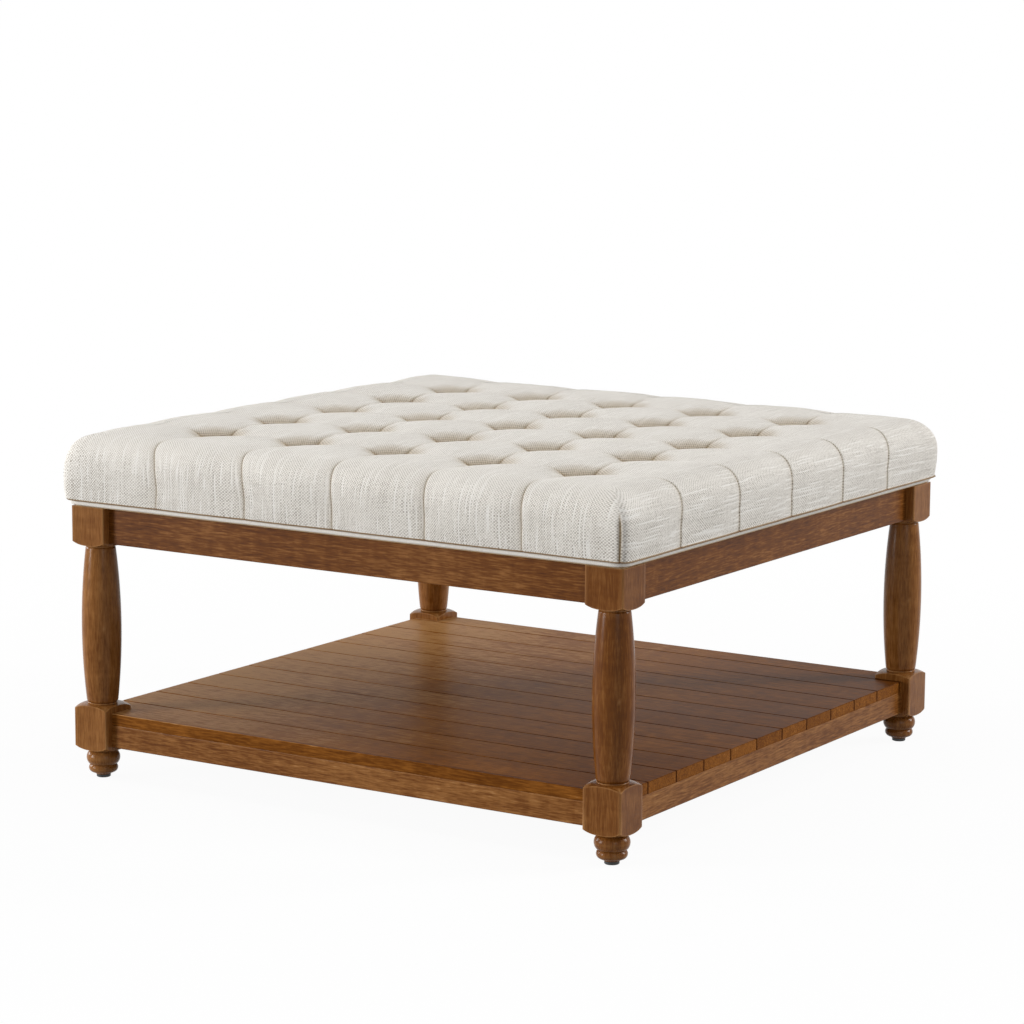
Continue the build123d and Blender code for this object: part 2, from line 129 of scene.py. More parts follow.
# %% A shader value
class Value:
    """One output socket of a shader node, which can be used in sums as a number is."""

    def __init__(self, finish, socket):
        self.finish = finish
        self.socket = socket

    def __add__(self, other):
        return self.finish.math("ADD", self, other)

    def __sub__(self, other):
        return self.finish.math("SUBTRACT", self, other)

    def __rsub__(self, other):
        return self.finish.math("SUBTRACT", other, self)

    def __mul__(self, other):
        return self.finish.math("MULTIPLY", self, other)

    def __truediv__(self, other):
        return self.finish.math("DIVIDE", self, other)

    __radd__ = __add__
    __rmul__ = __mul__


print("signs with a reflected form:", [name for name in vars(Value) if name.startswith("__r")])

# %% A finish
class Finish:
    """A material, or the world, that is being made: it adds nodes and hands out their outputs."""

    def __init__(self, owner):
        owner.use_nodes = True
        self.owner = owner
        self.tree = owner.node_tree
        self.tree.nodes.clear()

    def node(self, kind, settings=None, inputs=None, output=0):
        """Adds one node. Its settings go first, then the values or links of its sockets."""
        made = self.tree.nodes.new("ShaderNode" + kind)
        for name, setting in (settings or {}).items():
            if name == "stops":
                self.set_stops(made.color_ramp, setting)
            else:
                setattr(made, name, setting)
        for name, value in (inputs or {}).items():
            if isinstance(value, Value):
                self.tree.links.new(value.socket, made.inputs[name])
            else:
                made.inputs[name].default_value = value
        if len(made.outputs):
            return Value(self, made.outputs[output])

    def set_stops(self, ramp, stops):
        while len(ramp.elements) < len(stops):
            ramp.elements.new(1)
        for element, (position, colour) in zip(ramp.elements, stops):
            element.position = position
            element.color = colour

    def math(self, operation, a, b=0.0):
        return self.node("Math", {"operation": operation}, {0: a, 1: b})

    def clamp(self, value):
        return self.node("Clamp", inputs={"Value": value})

    def step(self, value, low, high):
        """Rises smoothly from 0 at low to 1 at high."""
        limits = {"Value": value, "From Min": low, "From Max": high}
        return self.node("MapRange", {"interpolation_type": "SMOOTHSTEP"}, limits)

    def mix(self, share, a, b, blend="MIX"):
        """Two colours mixed by a share from 0 to 1."""
        return self.node("Mix", {"data_type": "RGBA", "blend_type": blend}, {0: share, 6: a, 7: b}, 2)

    def ramp(self, value, stops):
        return self.node("ValToRGB", {"stops": stops}, {"Fac": value})

    def place(self):
        """The place of the shaded point on its object, in metres."""
        return self.node("TexCoord", output="Object")

    def cloth_place(self):
        """The place of the shaded point on the cloth, in metres along its threads."""
        return self.node("UVMap", {"uv_map": "cloth"})

    def part(self, vector, axis):
        return self.node("SeparateXYZ", inputs={0: vector}, output="XYZ".index(axis))

    def scaled(self, vector, factors):
        return self.node("VectorMath", {"operation": "MULTIPLY"}, {0: vector, 1: factors})

    def shifted(self, vector, offset):
        return self.node("VectorMath", {"operation": "ADD"}, {0: vector, 1: offset})

    def noise(self, vector, scale, detail, roughness, distortion=0.0):
        """Soft noise with a mean of a half."""
        sockets = {"Vector": vector, "Scale": scale, "Detail": detail}
        sockets.update({"Roughness": roughness, "Distortion": distortion})
        return self.node("TexNoise", inputs=sockets)

    def mark(self):
        """The piece's own marks: the depth in a fold for painted shade, or the wear and painted highlight
        of an edge.
        """
        return self.node("Attribute", {"attribute_name": "mark"}, output="Fac")

    def bump(self, height, depth, strength):
        return self.node("Bump", inputs={"Height": height, "Distance": depth, "Strength": strength})

    def surface(self, **sockets):
        """Ends a material in one principled shader with these sockets, spaces written as underscores."""
        named = {name.replace("_", " "): value for name, value in sockets.items()}
        shader = self.node("BsdfPrincipled", inputs=named)
        self.node("OutputMaterial", inputs={"Surface": shader})
        return self.owner


def new_finish(name):
    return Finish(bpy.data.materials.new(name))


def shade(red, green, blue):
    """A colour for a socket, from the 0 to 255 numbers that a picture shows, which are not in even steps of
    light: each is divided by 255 and raised by the display's curve."""
    parts = []
    for part in (red, green, blue):
        level = part / 255
        parts.append(level / 12.92 if level <= 0.04045 else ((level + 0.055) / 1.055) ** 2.4)
    return (*parts, 1.0)


print("a warm brown is", [round(c, 3) for c in shade(120, 78, 42)])

# %% [markdown]
# ## The studio
#
# The table stands on a plain pale floor in even light. A real studio has a floor that curves up into a
# backdrop, with large soft boxes round it. A flat floor under a pale world does the same with less. The
# camera sees both as white through Light Path, which leaves the light on the table at a plain level,
# and the floor keeps the table's shadow.

# %% World and floor
world_level = 0.21
floor_paint = 0.42
floor_seen = 0.87
floor_shadow_share = 0.05
shadow_reach = (0.75, 2.0)
floor_half = 12.0


def seen_directly(finish):
    """1 for what the camera sees straight, in a mirror or through glass, and 0 for light on surfaces."""
    kinds = ("Camera", "Glossy", "Transmission")
    rays = [finish.node("LightPath", output=f"Is {kind} Ray") for kind in kinds]
    return finish.clamp(rays[0] + rays[1] + rays[2])


def white_world():
    world = bpy.data.worlds.new("studio_world")
    bpy.context.scene.world = world
    finish = Finish(world)
    seen = seen_directly(finish)
    strength = seen * (1 - world_level) + world_level
    light = finish.node("Background", inputs={"Color": (1, 1, 1, 1), "Strength": strength})
    finish.node("OutputWorld", inputs={"Surface": light})


def floor_finish():
    """Pale paint that the camera sees as white. A part of its real shading stays round the table, for the
    shadow, and fades out with the distance from the middle. Surfaces get a dimmer floor's light."""
    finish = new_finish("studio_floor")
    level = seen_directly(finish) * (floor_seen - floor_paint) + floor_paint
    colour = finish.mix(level, (0, 0, 0, 1), (1, 1, 1, 1))
    paint = finish.node("BsdfDiffuse", inputs={"Color": colour})
    white = finish.node("Emission", inputs={"Color": (1, 1, 1, 1), "Strength": 1.0})
    distance = finish.node("VectorMath", {"operation": "LENGTH"}, {0: finish.place()}, "Value")
    shown = (1 - finish.step(distance, *shadow_reach)) * floor_shadow_share
    share = seen_directly(finish) * (1 - shown)
    both = finish.node("MixShader", inputs={0: share, 1: paint, 2: white})
    finish.node("OutputMaterial", inputs={"Surface": both})
    return finish.owner


white_world()
floor_mesh = bpy.data.meshes.new("studio_floor")
floor_corners = [(-1, -1, 0), (1, -1, 0), (1, 1, 0), (-1, 1, 0)]
floor_mesh.from_pydata((np.array(floor_corners) * floor_half).tolist(), [], [(0, 1, 2, 3)])
floor_mesh.materials.append(floor_finish())
floor = bpy.data.objects.new("studio_floor", floor_mesh)
bpy.context.scene.collection.objects.link(floor)
floor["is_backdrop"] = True
print("floor", 2 * floor_half, "m wide")

# %% Soft boxes
table_middle = Vector((0, 0, cad_bounds[1].z / 2))


def soft_box(name, azimuth, elevation, distance, width, height, watts):
    """A lamp that faces the table, with angles in degrees and lengths in metres. Azimuth 0 is in front of
    the table and 90 to its right."""
    away = direction(math.radians(azimuth), math.radians(elevation))
    lamp = bpy.data.lights.new(name, "AREA")
    lamp.shape = "RECTANGLE"
    lamp.size = width
    lamp.size_y = height
    lamp.energy = watts
    lit = bpy.data.objects.new(name, lamp)
    lit.location = table_middle + away * distance
    lit.rotation_mode = "QUATERNION"
    lit.rotation_quaternion = away.to_track_quat("Z", "Y")
    bpy.context.scene.collection.objects.link(lit)


soft_boxes = {
    "front_left": (-44, 10, 8.0, 2.2, 3.0, 404),
    "left": (-84, 14, 6.0, 1.6, 2.2, 145),
    "right": (130, 22, 7.0, 1.8, 2.8, 300),
    "camera": (50, 12, 8.0, 2.4, 2.8, 60),
    "top": (10, 80, 3.5, 2.4, 2.4, 46),
}
for name, numbers in soft_boxes.items():
    soft_box(name + "_soft_box", *numbers)
print(len(soft_boxes), "soft boxes,", sum(numbers[-1] for numbers in soft_boxes.values()), "W")

# %% [markdown]
# ## Surfaces from arrays
#
# Every new piece here is a surface: a grid of points, worked out all at once from two parameters. One
# helper turns such grids into a mesh. Grids that share an edge are welded, so that the light runs smoothly
# across, and each grid carries the place of its points on the cloth for the weave to follow.

# %% From grids to a mesh
weld_distance = 0.02 * mm


def grid_faces(rows, columns):
    """The four corner numbers of each face in a grid whose points are numbered row by row."""
    number = np.arange(rows * columns).reshape(rows, columns)
    corners = (number[:-1, :-1], number[:-1, 1:], number[1:, 1:], number[1:, :-1])
    return np.stack(corners, axis=-1).reshape(-1, 4)


def make_piece(name, patches, finish, sharp_degrees=None):
    """Joins patches into one welded piece with its faces outwards. A patch is a grid of points, one of
    their places on the cloth, and one of marks: how much painted shade a point gets in a fold or seam, or
    how much wear and painted highlight near an edge."""
    grids, cloths, marks = zip(*patches)
    starts = np.cumsum([0] + [grid[..., 0].size for grid in grids])
    faces = np.concatenate([grid_faces(*grid.shape[:2]) + start for grid, start in zip(grids, starts)])
    points = np.concatenate([grid.reshape(-1, 3) for grid in grids])
    cloth = np.concatenate([grid.reshape(-1, 2) for grid in cloths])
    mark = np.concatenate([grid.reshape(-1) for grid in marks])
    mesh = bpy.data.meshes.new(name)
    mesh.from_pydata(points.tolist(), [], faces.tolist())
    mesh.attributes.new("mark", "FLOAT", "POINT").data.foreach_set("value", mark.astype(np.float32))
    layer = mesh.uv_layers.new(name="cloth")
    layer.data.foreach_set("uv", cloth[faces.reshape(-1)].astype(np.float32).reshape(-1))
    shape = bmesh.new()
    shape.from_mesh(mesh)
    bmesh.ops.remove_doubles(shape, verts=shape.verts, dist=weld_distance)
    bmesh.ops.recalc_face_normals(shape, faces=shape.faces)
    shape.to_mesh(mesh)
    shape.free()
    mesh.shade_smooth()
    if sharp_degrees:
        mesh.set_sharp_from_angle(angle=math.radians(sharp_degrees))
    mesh.materials.append(finish)
    piece = bpy.data.objects.new(name, mesh)
    bpy.context.scene.collection.objects.link(piece)
    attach(piece, "root")
    print(name, len(mesh.vertices), "points", len(mesh.polygons), "faces")
    return piece


print("edges are welded where they lie within", round(weld_distance / mm, 3), "mm")

# %% [markdown]
# ## Stained wood
#
# The wood is pale and close-grained, stained a warm brown and rubbed to a satin. Its look is made of a few
# layers: a slow drift of the stain, a figure drawn out along the grain, fine darker lines, tiny pores, and
# a faint curl across the grain. All of them read the place in metres, squeezed along the grain, so one
# recipe serves legs, rails and planks when it is told which way the grain runs.

# %% The wood recipe
dark_stain = shade(76, 38, 10)
brown_stain = shade(111, 64, 21)
light_stain = shade(153, 103, 54)
warm_stain = shade(148, 92, 36)
worn_stain = shade(182, 134, 84)
wood_specular = 0.11
stain_level = 0.20
curl_share = 0.24
drift_share = 0.34
fleck_share = 0.30
grain_relief = 0.12 * mm


def grain_layers(finish, place, along):
    """Figure, fine lines, pores and curl, each about a half, for wood with its grain along an axis."""
    def drawn_out(ratio):
        return tuple(1.0 / ratio if axis == along else 1.0 for axis in "XYZ")

    figure = finish.noise(finish.scaled(place, drawn_out(18)), 150, 3, 0.5, 0.3)
    lines = finish.noise(finish.scaled(place, drawn_out(11)), 480, 2, 0.6, 0.2)
    pores = finish.noise(finish.scaled(place, drawn_out(12)), 1500, 1, 0.5)
    curl = finish.noise(finish.scaled(place, drawn_out(0.45)), 26, 2, 0.5, 0.6)
    return figure, lines, pores, curl


def wood_finish(
    name, along, place_maker=None, tone=None, light=light_stain, gloss=0.32, specular=wood_specular,
    fine=0.9, blotch=0.36, paler=0.0, worn_and_highlit=False
):
    """Satin stained wood. The layers are added to one level from dark to light, which picks the colour.
    Fine weighs the lines and blotch the figure, about their means, and paler lifts the level. Worn wood is
    lighter at the edges that the piece's marks give, as wear and painted highlight."""
    finish = new_finish(name)
    place = finish.place()
    if place_maker:
        place = place_maker(finish, place)
    figure, lines, pores, curl = grain_layers(finish, place, along)
    drift = finish.noise(place, 5.5, 2, 0.5)
    level = figure * blotch + lines * fine + curl * curl_share + drift * drift_share
    level = level + (stain_level + paler - (blotch + fine) / 2)
    if tone:
        level = level + tone(finish)
    stops = [(0.22, dark_stain), (0.52, brown_stain), (0.82, light), (1.0, worn_stain)]
    colour = finish.ramp(level, stops)
    flecks = finish.step(pores, 0.60, 0.72) * fleck_share
    colour = finish.mix(flecks, colour, dark_stain)
    if worn_and_highlit:
        # Edges that the marks give are made lighter, as wear and painted highlight.
        rubbed_and_highlit = finish.clamp(finish.mark() * (figure * 0.9 + 0.1))
        colour = finish.mix(rubbed_and_highlit, colour, worn_stain)
    rough = lines * 0.12 + drift * 0.08 + (gloss - 0.10)
    normal = finish.bump(lines * 0.5 + pores * 0.5, grain_relief, 0.5)
    return finish.surface(Base_Color=colour, Roughness=rough, Normal=normal, Specular_IOR_Level=specular)


stains = (dark_stain, brown_stain, light_stain, worn_stain)
print("red in the stains, dark to worn:", [round(stain[0], 3) for stain in stains])

# %% [markdown]
# ## Planks and rails
#
# Each plank of the shelf comes from another board, so its grain must not run on into its neighbour. A
# separate material for each would do, but the planks lie at an even pitch, and their number can be worked
# out from the place itself: the same finish then moves each plank's pattern along and shifts its tone.

# %% Planks
second_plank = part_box("plank_02")
second_plank_front = second_plank[0].y
plank_width = second_plank[1].y - second_plank_front
plank_low, plank_high = second_plank[0].z, second_plank[1].z
plank_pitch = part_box("plank_03")[0].y - second_plank_front
board_jump = 3.17


def plank_number(finish, place):
    """Counts the pitches between the second plank's front edge and this place, rounded down."""
    steps = (finish.part(place, "Y") - second_plank_front) / plank_pitch
    return finish.math("FLOOR", steps)


def plank_place(finish, place):
    jump = plank_number(finish, place) * board_jump
    return finish.shifted(place, finish.node("CombineXYZ", inputs={"X": jump, "Z": jump}))


board_change = 0.06
# Painted shade beside the plank gaps and along each plank's lower edge.
gap_shade_width = 1.6 * mm
gap_painted_shade = 0.30
low_edge_painted_shade = 0.06
edge_paler = 0.10
# Painted light on the upper face of the shelf, stronger towards the left.
upper_painted_light = 0.23
painted_light_per_metre = 0.72


def plank_tone(finish):
    """Up to a little darker or lighter, from a random number for each plank, with painted shade beside the
    gaps and along the lower edge. The upper face gets painted light that grows towards the left, and the
    other faces are paler."""
    place = finish.place()
    number = plank_number(finish, place)
    chance = finish.node("TexWhiteNoise", {"noise_dimensions": "1D"}, {"W": number})
    front = finish.part(place, "Y") - second_plank_front - number * plank_pitch
    middle = finish.math("ABSOLUTE", front - plank_width / 2)
    beside_gap = finish.step(middle, plank_width / 2 - gap_shade_width, plank_width / 2)
    low_edge = 1 - finish.step(finish.part(place, "Z"), plank_low + 0.4 * mm, plank_low + 2 * mm)
    upper_face = finish.step(finish.part(place, "Z"), plank_high - 1.2 * mm, plank_high - 0.3 * mm)
    painted_light = (upper_painted_light - finish.part(place, "X") * painted_light_per_metre) * upper_face
    paler = (chance - 0.5) * board_change + (painted_light + (1 - upper_face) * edge_paler)
    return paler - beside_gap * gap_painted_shade - low_edge * low_edge_painted_shade


plank_wood = wood_finish(
    "plank_wood", "X", plank_place, plank_tone, light=warm_stain, gloss=0.38, specular=0.02, paler=0.03
)
print("plank pitch", round(plank_pitch / mm, 1), "mm")

# %% Rails
apron_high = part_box("apron_front")[1].z
low_rail_paler = 0.12
# Painted shadow along the apron's upper edge, under the cord.
cord_painted_shadow = 0.45


def rail_tone(finish):
    """Painted shadow along an apron's upper edge, under the cord, and paler on the rails of the shelf."""
    height = finish.part(finish.place(), "Z")
    cord_shadow_share = finish.step(height, apron_high - 3.0 * mm, apron_high - 0.6 * mm)
    low_rail = 1 - finish.step(height, plank_low, plank_high)
    return low_rail * low_rail_paler - cord_shadow_share * cord_painted_shadow


# Painted light on the legs at the left and at the back.
left_painted_light = 0.17
behind_painted_light = 0.13


def leg_painted_light(finish):
    """Painted light: the legs at the left and at the back are made paler."""
    place = finish.place()
    left = finish.step(finish.part(place, "X"), 0.1, -0.1)
    behind = finish.step(finish.part(place, "Y"), -0.1, 0.1)
    return left * left_painted_light + behind * behind_painted_light - left * behind * left_painted_light


rail_wood_x = wood_finish("rail_wood_x", "X", tone=rail_tone, paler=0.03)
rail_wood_y = wood_finish("rail_wood_y", "Y", tone=rail_tone, paler=0.02, specular=0.08)
leg_wood = wood_finish(
    "leg_wood", "Z", tone=leg_painted_light, gloss=0.21, fine=0.55, blotch=0.24, paler=0.03, worn_and_highlit=True
)


def give(finish, *starts):
    """Puts a finish on every part of the frame whose name starts with one of these words."""
    dressed = [node for name, node in nodes.items() if name.startswith(starts)]
    for node in dressed:
        for slot in node.material_slots:
            slot.material = finish
    print(finish.name, "on", len(dressed), "parts")


give(plank_wood, "plank_")
give(rail_wood_x, "apron_front", "apron_back", "shelf_rail_front", "shelf_rail_back")
give(rail_wood_y, "apron_left", "apron_right", "shelf_rail_left", "shelf_rail_right")

# %% [markdown]
# ## The turned legs
#
# Each leg is one square stick, turned on a lathe between two blocks that stay square. Wherever the turned
# outline reaches past the stick, the flat faces remain, and the cutter leaves a shallow arc on each face
# where a block ends. Turning and stick are both distances from the leg's axis, so the leg is simply the
# smaller of the two. A surface of height and angle follows this rule exactly, and its columns can be
# packed at the stick's rounded edges, where the light catches.

# %% Sizes of the legs
leg_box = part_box("leg_front_right")
half_stock = (leg_box[1].x - leg_box[0].x) / 2 / mm
leg_low = leg_box[0].z / mm
leg_high = leg_box[1].z / mm
stock_round = 2.0
shoulder_start = 22.0
shoulder_round = 29.0
block_ends = (41.5, 107.5, 335.5)
brace_plane = 32.3
brace_cut = (50.0, 79.0)


def shoulder_drop(radius):
    """Fall of the shoulder's arc: its round less the upright side of a triangle whose long side is the
    round and whose level side is the radius past the arc's start."""
    return shoulder_round - np.sqrt(shoulder_round**2 - (radius - shoulder_start) ** 2)


def leg_angles():
    """Angles round the leg: even over each flat, close together round each edge, and one on each side of
    the corners where a brace's cut ends."""
    edge_turn = math.atan((half_stock - stock_round) / half_stock)
    flat = np.linspace(-edge_turn, edge_turn, 17)
    cut = math.atan((brace_plane * math.sqrt(2) - half_stock) / half_stock)
    edge = np.linspace(edge_turn, math.pi / 2 - edge_turn, 6)[1:-1]
    quarter = np.unique(np.concatenate([flat, [-cut, cut], edge]))
    turns = np.arange(4)[:, None] * math.pi / 2
    full = (quarter[None, :] + turns).reshape(-1)
    return np.append(full, full[0] + 2 * math.pi)


def stick_reach(angle):
    """Distance from the axis to the stick's rounded outline. Folded into one eighth of a turn, it is the
    half width over the cosine, and past the flat's end the far crossing of the ray with the edge's arc."""
    folded = np.abs((angle + math.pi / 4) % (math.pi / 2) - math.pi / 4)
    inner = half_stock - stock_round
    flat = half_stock / np.cos(folded)
    along = inner * (np.cos(folded) + np.sin(folded))
    across = inner * (np.cos(folded) - np.sin(folded))
    arc = along + np.sqrt(np.maximum(stock_round**2 - across**2, 0))
    return np.where(half_stock * np.tan(folded) <= inner, flat, arc)


print("legs", round(leg_high - leg_low, 1), "mm long, from stock", round(2 * half_stock, 1), "mm square")

# %% The turned outline
foot_stem = 11.0
disc_low, disc_middle, disc_high = 7.0, 12.75, 18.5
disc_edge, disc_rim = 15.2, 20.65
foot_waist, foot_neck = 18.75, 19.0
bead_middle, bead_high = 28.85, 39.2
bead_rim = 23.85
ring, ring_crest = 20.9, 21.4
ring_width = 2.0
neck = 19.8
cove_middle, cove_end = 3.75, 5.5
low_cove_radii = (21.6, 22.3)
high_cove_radii = (21.0, 21.4)
swelling = 28.0


def arc_through(start, middle, end, count):
    """Points on the circle through three points, at even turns from the first to the last."""
    (ax, ay), (bx, by), (cx, cy) = start, middle, end
    d = 2 * (ax * (by - cy) + bx * (cy - ay) + cx * (ay - by))
    a2, b2, c2 = ax**2 + ay**2, bx**2 + by**2, cx**2 + cy**2
    ux = (a2 * (by - cy) + b2 * (cy - ay) + c2 * (ay - by)) / d
    uy = (a2 * (cx - bx) + b2 * (ax - cx) + c2 * (bx - ax)) / d
    turns = np.unwrap([math.atan2(y - uy, x - ux) for x, y in (start, middle, end)])
    turn = np.linspace(turns[0], turns[2], count)
    radius = math.hypot(ax - ux, ay - uy)
    return np.stack([ux + radius * np.cos(turn), uy + radius * np.sin(turn)], axis=1)


def joined(*parts):
    """One outline from arcs and single points, with straight runs between them."""
    return np.concatenate([np.atleast_2d(part) for part in parts])


def foot_outline():
    """Height and radius from the foot's middle over its stem, disc and bead to the lower block."""
    block = block_ends[0]
    return joined(
        (leg_low, 0), (leg_low, foot_stem), (disc_low, foot_stem),
        arc_through((disc_low, disc_edge), (disc_middle, disc_rim), (disc_high, foot_waist), 14),
        arc_through((disc_high, foot_waist), (bead_middle, bead_rim), (bead_high, foot_waist), 18),
        (bead_high, foot_neck), (block, foot_neck), (block, shoulder_start),
    )


def baluster_outline():
    """Height and radius from the lower block over a neck ring, a cove, the long swelling, another cove and
    ring to the upper block."""
    low, high = block_ends[1:]
    low_ring, high_ring = low + ring_width, high - ring_width
    low_cove = (low + cove_end, low_cove_radii[1])
    high_cove = (high - cove_end, high_cove_radii[1])
    return joined(
        (low, shoulder_start), (low, ring_crest),
        arc_through((low, ring), (low + ring_width / 2, ring_crest), (low_ring, ring), 5),
        arc_through((low_ring, neck), (low + cove_middle, low_cove_radii[0]), low_cove, 6),
        arc_through(low_cove, ((low + high) / 2, swelling), high_cove, 40),
        arc_through(high_cove, (high - cove_middle, high_cove_radii[0]), (high_ring, neck), 6),
        arc_through((high_ring, ring), (high - ring_width / 2, ring_crest), (high, ring), 5),
        (high, shoulder_start),
    )


print("turned lengths", [round(b, 1) for b in block_ends], "mm; baluster rows", len(baluster_outline()))

# %% Build the legs
worn_width = 1.6
edge_spread = 1.5
ring_spread = 0.9
rim_spread = 2.0


def turned_rows(profile, angles):
    """Rows of a plain turning: the same height and radius all round."""
    heights = np.repeat(profile[:, :1], len(angles), axis=1)
    reaches = np.repeat(profile[:, 1:], len(angles), axis=1)
    return heights, reaches


def shoulder_rows(end, way, angles):
    """Rows out from the shoulder's start to the stick's faces. The radius goes evenly to the stick's reach
    and the height leaves the block's end by the shoulder's drop there, up for way 1 and down for -1."""
    share = np.linspace(0, 1, 7)[:, None]
    reaches = shoulder_start + share * (stick_reach(angles) - shoulder_start)
    return end + way * shoulder_drop(reaches), reaches


def block_rows(low, high, angles, inward, cuts=()):
    """Rows up the faces of a block between two edges that may be curved, with one close to each edge.
    Between the heights of a cut the reach is no more than to a plane square to the direction of the
    table's middle."""
    reach = stick_reach(angles)
    facing = np.maximum(np.cos(angles - inward), 0.05)
    planed = np.minimum(reach, brace_plane / facing)
    levels = [(low, reach), (low + worn_width, reach)]
    for start, end in cuts:
        levels += [(start, reach), (start, planed), (end, planed), (end, reach)]
    levels += [(high - worn_width, reach), (high, reach)]
    heights = np.stack([np.broadcast_to(level, reach.shape) for level, _ in levels])
    return heights, np.stack([line for _, line in levels])


def leg_surface(axis_x, axis_y):
    """The whole leg as one grid of height by angle, closed at the foot's and the block's middle."""
    angles = leg_angles()
    inward = math.atan2(-axis_y, -axis_x)
    low, middle, high = block_ends
    down = shoulder_rows(middle, -1, angles)
    up_low = shoulder_rows(low, 1, angles)
    up_high = shoulder_rows(high, 1, angles)
    top = np.full(angles.shape, leg_high)
    parts = [
        turned_rows(foot_outline(), angles),
        up_low,
        block_rows(up_low[0][-1], down[0][-1], angles, inward, [brace_cut]),
        (down[0][::-1], down[1][::-1]),
        turned_rows(baluster_outline(), angles),
        up_high,
        block_rows(up_high[0][-1], top, angles, inward),
        turned_rows(np.array([[leg_high, 0.0]]), angles),
    ]
    z, r = (np.concatenate(rows) for rows in zip(*parts))
    x = axis_x / mm + r * np.cos(angles)
    y = axis_y / mm + r * np.sin(angles)
    cloth = np.stack([r * angles, z], axis=-1)
    return np.stack([x, y, z], axis=-1) * mm, cloth * mm, wear_and_highlight(z, r, angles)


def near_levels(z, levels, spread):
    """A bell round each level: the exponential of minus the square of the distance over the spread."""
    return sum(np.exp(-(((z - level) / spread) ** 2)) for level in levels)


def wear_and_highlight(z, r, angles):
    """1 on what sticks out and wears bare, with a painted highlight, fading to 0 beside it: the stick's
    long edges, the curved ends of the blocks, the neck rings, and the rims of the disc and bead."""
    aside = np.abs((angles % (math.pi / 2)) - math.pi / 4) * r
    on_block = r > shoulder_round - 1
    long_edge = np.exp(-((aside / edge_spread) ** 2)) * on_block
    far_out = np.abs(r - stick_reach(angles)) < 0.01
    step_up = np.abs(np.diff(z, axis=0, prepend=z[:1])) < worn_width + 0.1
    step_down = np.abs(np.diff(z, axis=0, append=z[-1:])) < worn_width + 0.1
    block_end = 0.8 * (far_out & step_up & step_down)
    half = ring_width / 2
    rings = near_levels(z, (block_ends[1] + half, block_ends[2] - half), ring_spread) * (r < shoulder_start)
    rims = near_levels(z, (disc_middle, bead_middle), rim_spread) * (r > 20)
    return np.clip(0.75 * long_edge + block_end + 0.7 * rings + 0.3 * rims, 0, 1)


crease_degrees = 38
for corner in ("front_right", "back_right", "back_left", "front_left"):
    low_corner, high_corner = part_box("leg_" + corner)
    middle = (low_corner + high_corner) / 2
    surface = leg_surface(middle.x, middle.y)
    turned = make_piece("turned_leg_" + corner, [surface], leg_wood, crease_degrees)
    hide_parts("leg_" + corner)

# %% [markdown]
# ## Slub linen
#
# The cover is an off-white linen in a plain weave. Its threads are spun unevenly, so thicker ones, called
# slubs, run as pale streaks along one direction of the cloth only: up and down the front, but level on the
# right side, because the cover is cut from one sheet whose threads keep their direction over the edge.
# The pattern therefore reads a map of the cloth, laid flat, in metres.

# %% The linen recipe
linen_gap = shade(152, 143, 131)
linen_thread = shade(240, 236, 229)
linen_slub = shade(246, 244, 240)
painted_fold_shade = shade(190, 172, 142)
seam_shadow = shade(132, 100, 74)
thread_pitch = 2.1 * mm
thread_wander = 1.6 * mm
along_change = 14
across_change = 55
pressed_heights = (0.462, 0.484)
pressed_flat = 0.5
gap_shade = 0.20
slub_share = 0.45
weave_relief = 0.4 * mm


def thread_profile(finish, count):
    """A round thread in each pitch: one less the square of the distance from its middle."""
    share = finish.math("FRACT", count)
    off = share * 2 - 1
    return 1 - off * off


def weave(finish, across, along):
    """Plain weave: in each square of the pitch either the one thread lies on top or the other, by turns.
    Gives the height of the threads, and 1 where the paler one is on top."""
    a = across / thread_pitch
    b = along / thread_pitch
    squares = finish.math("FLOOR", a) + finish.math("FLOOR", b)
    turn = finish.math("FLOORED_MODULO", squares, 2.0)
    return turn * thread_profile(finish, a) + (1 - turn) * thread_profile(finish, b), turn


def thread_tones(finish, across, along, offset, change):
    """A tone for each thread that runs along, which changes slowly down its length: noise read at the
    thread's number on two axes and at so many changes for each metre of the length on the third."""
    number = finish.math("FLOOR", across / thread_pitch)
    spot = {"X": number * 5.31 + offset, "Y": along * change, "Z": number * 1.7}
    return finish.noise(finish.node("CombineXYZ", inputs=spot), 1, 1.5, 0.5)


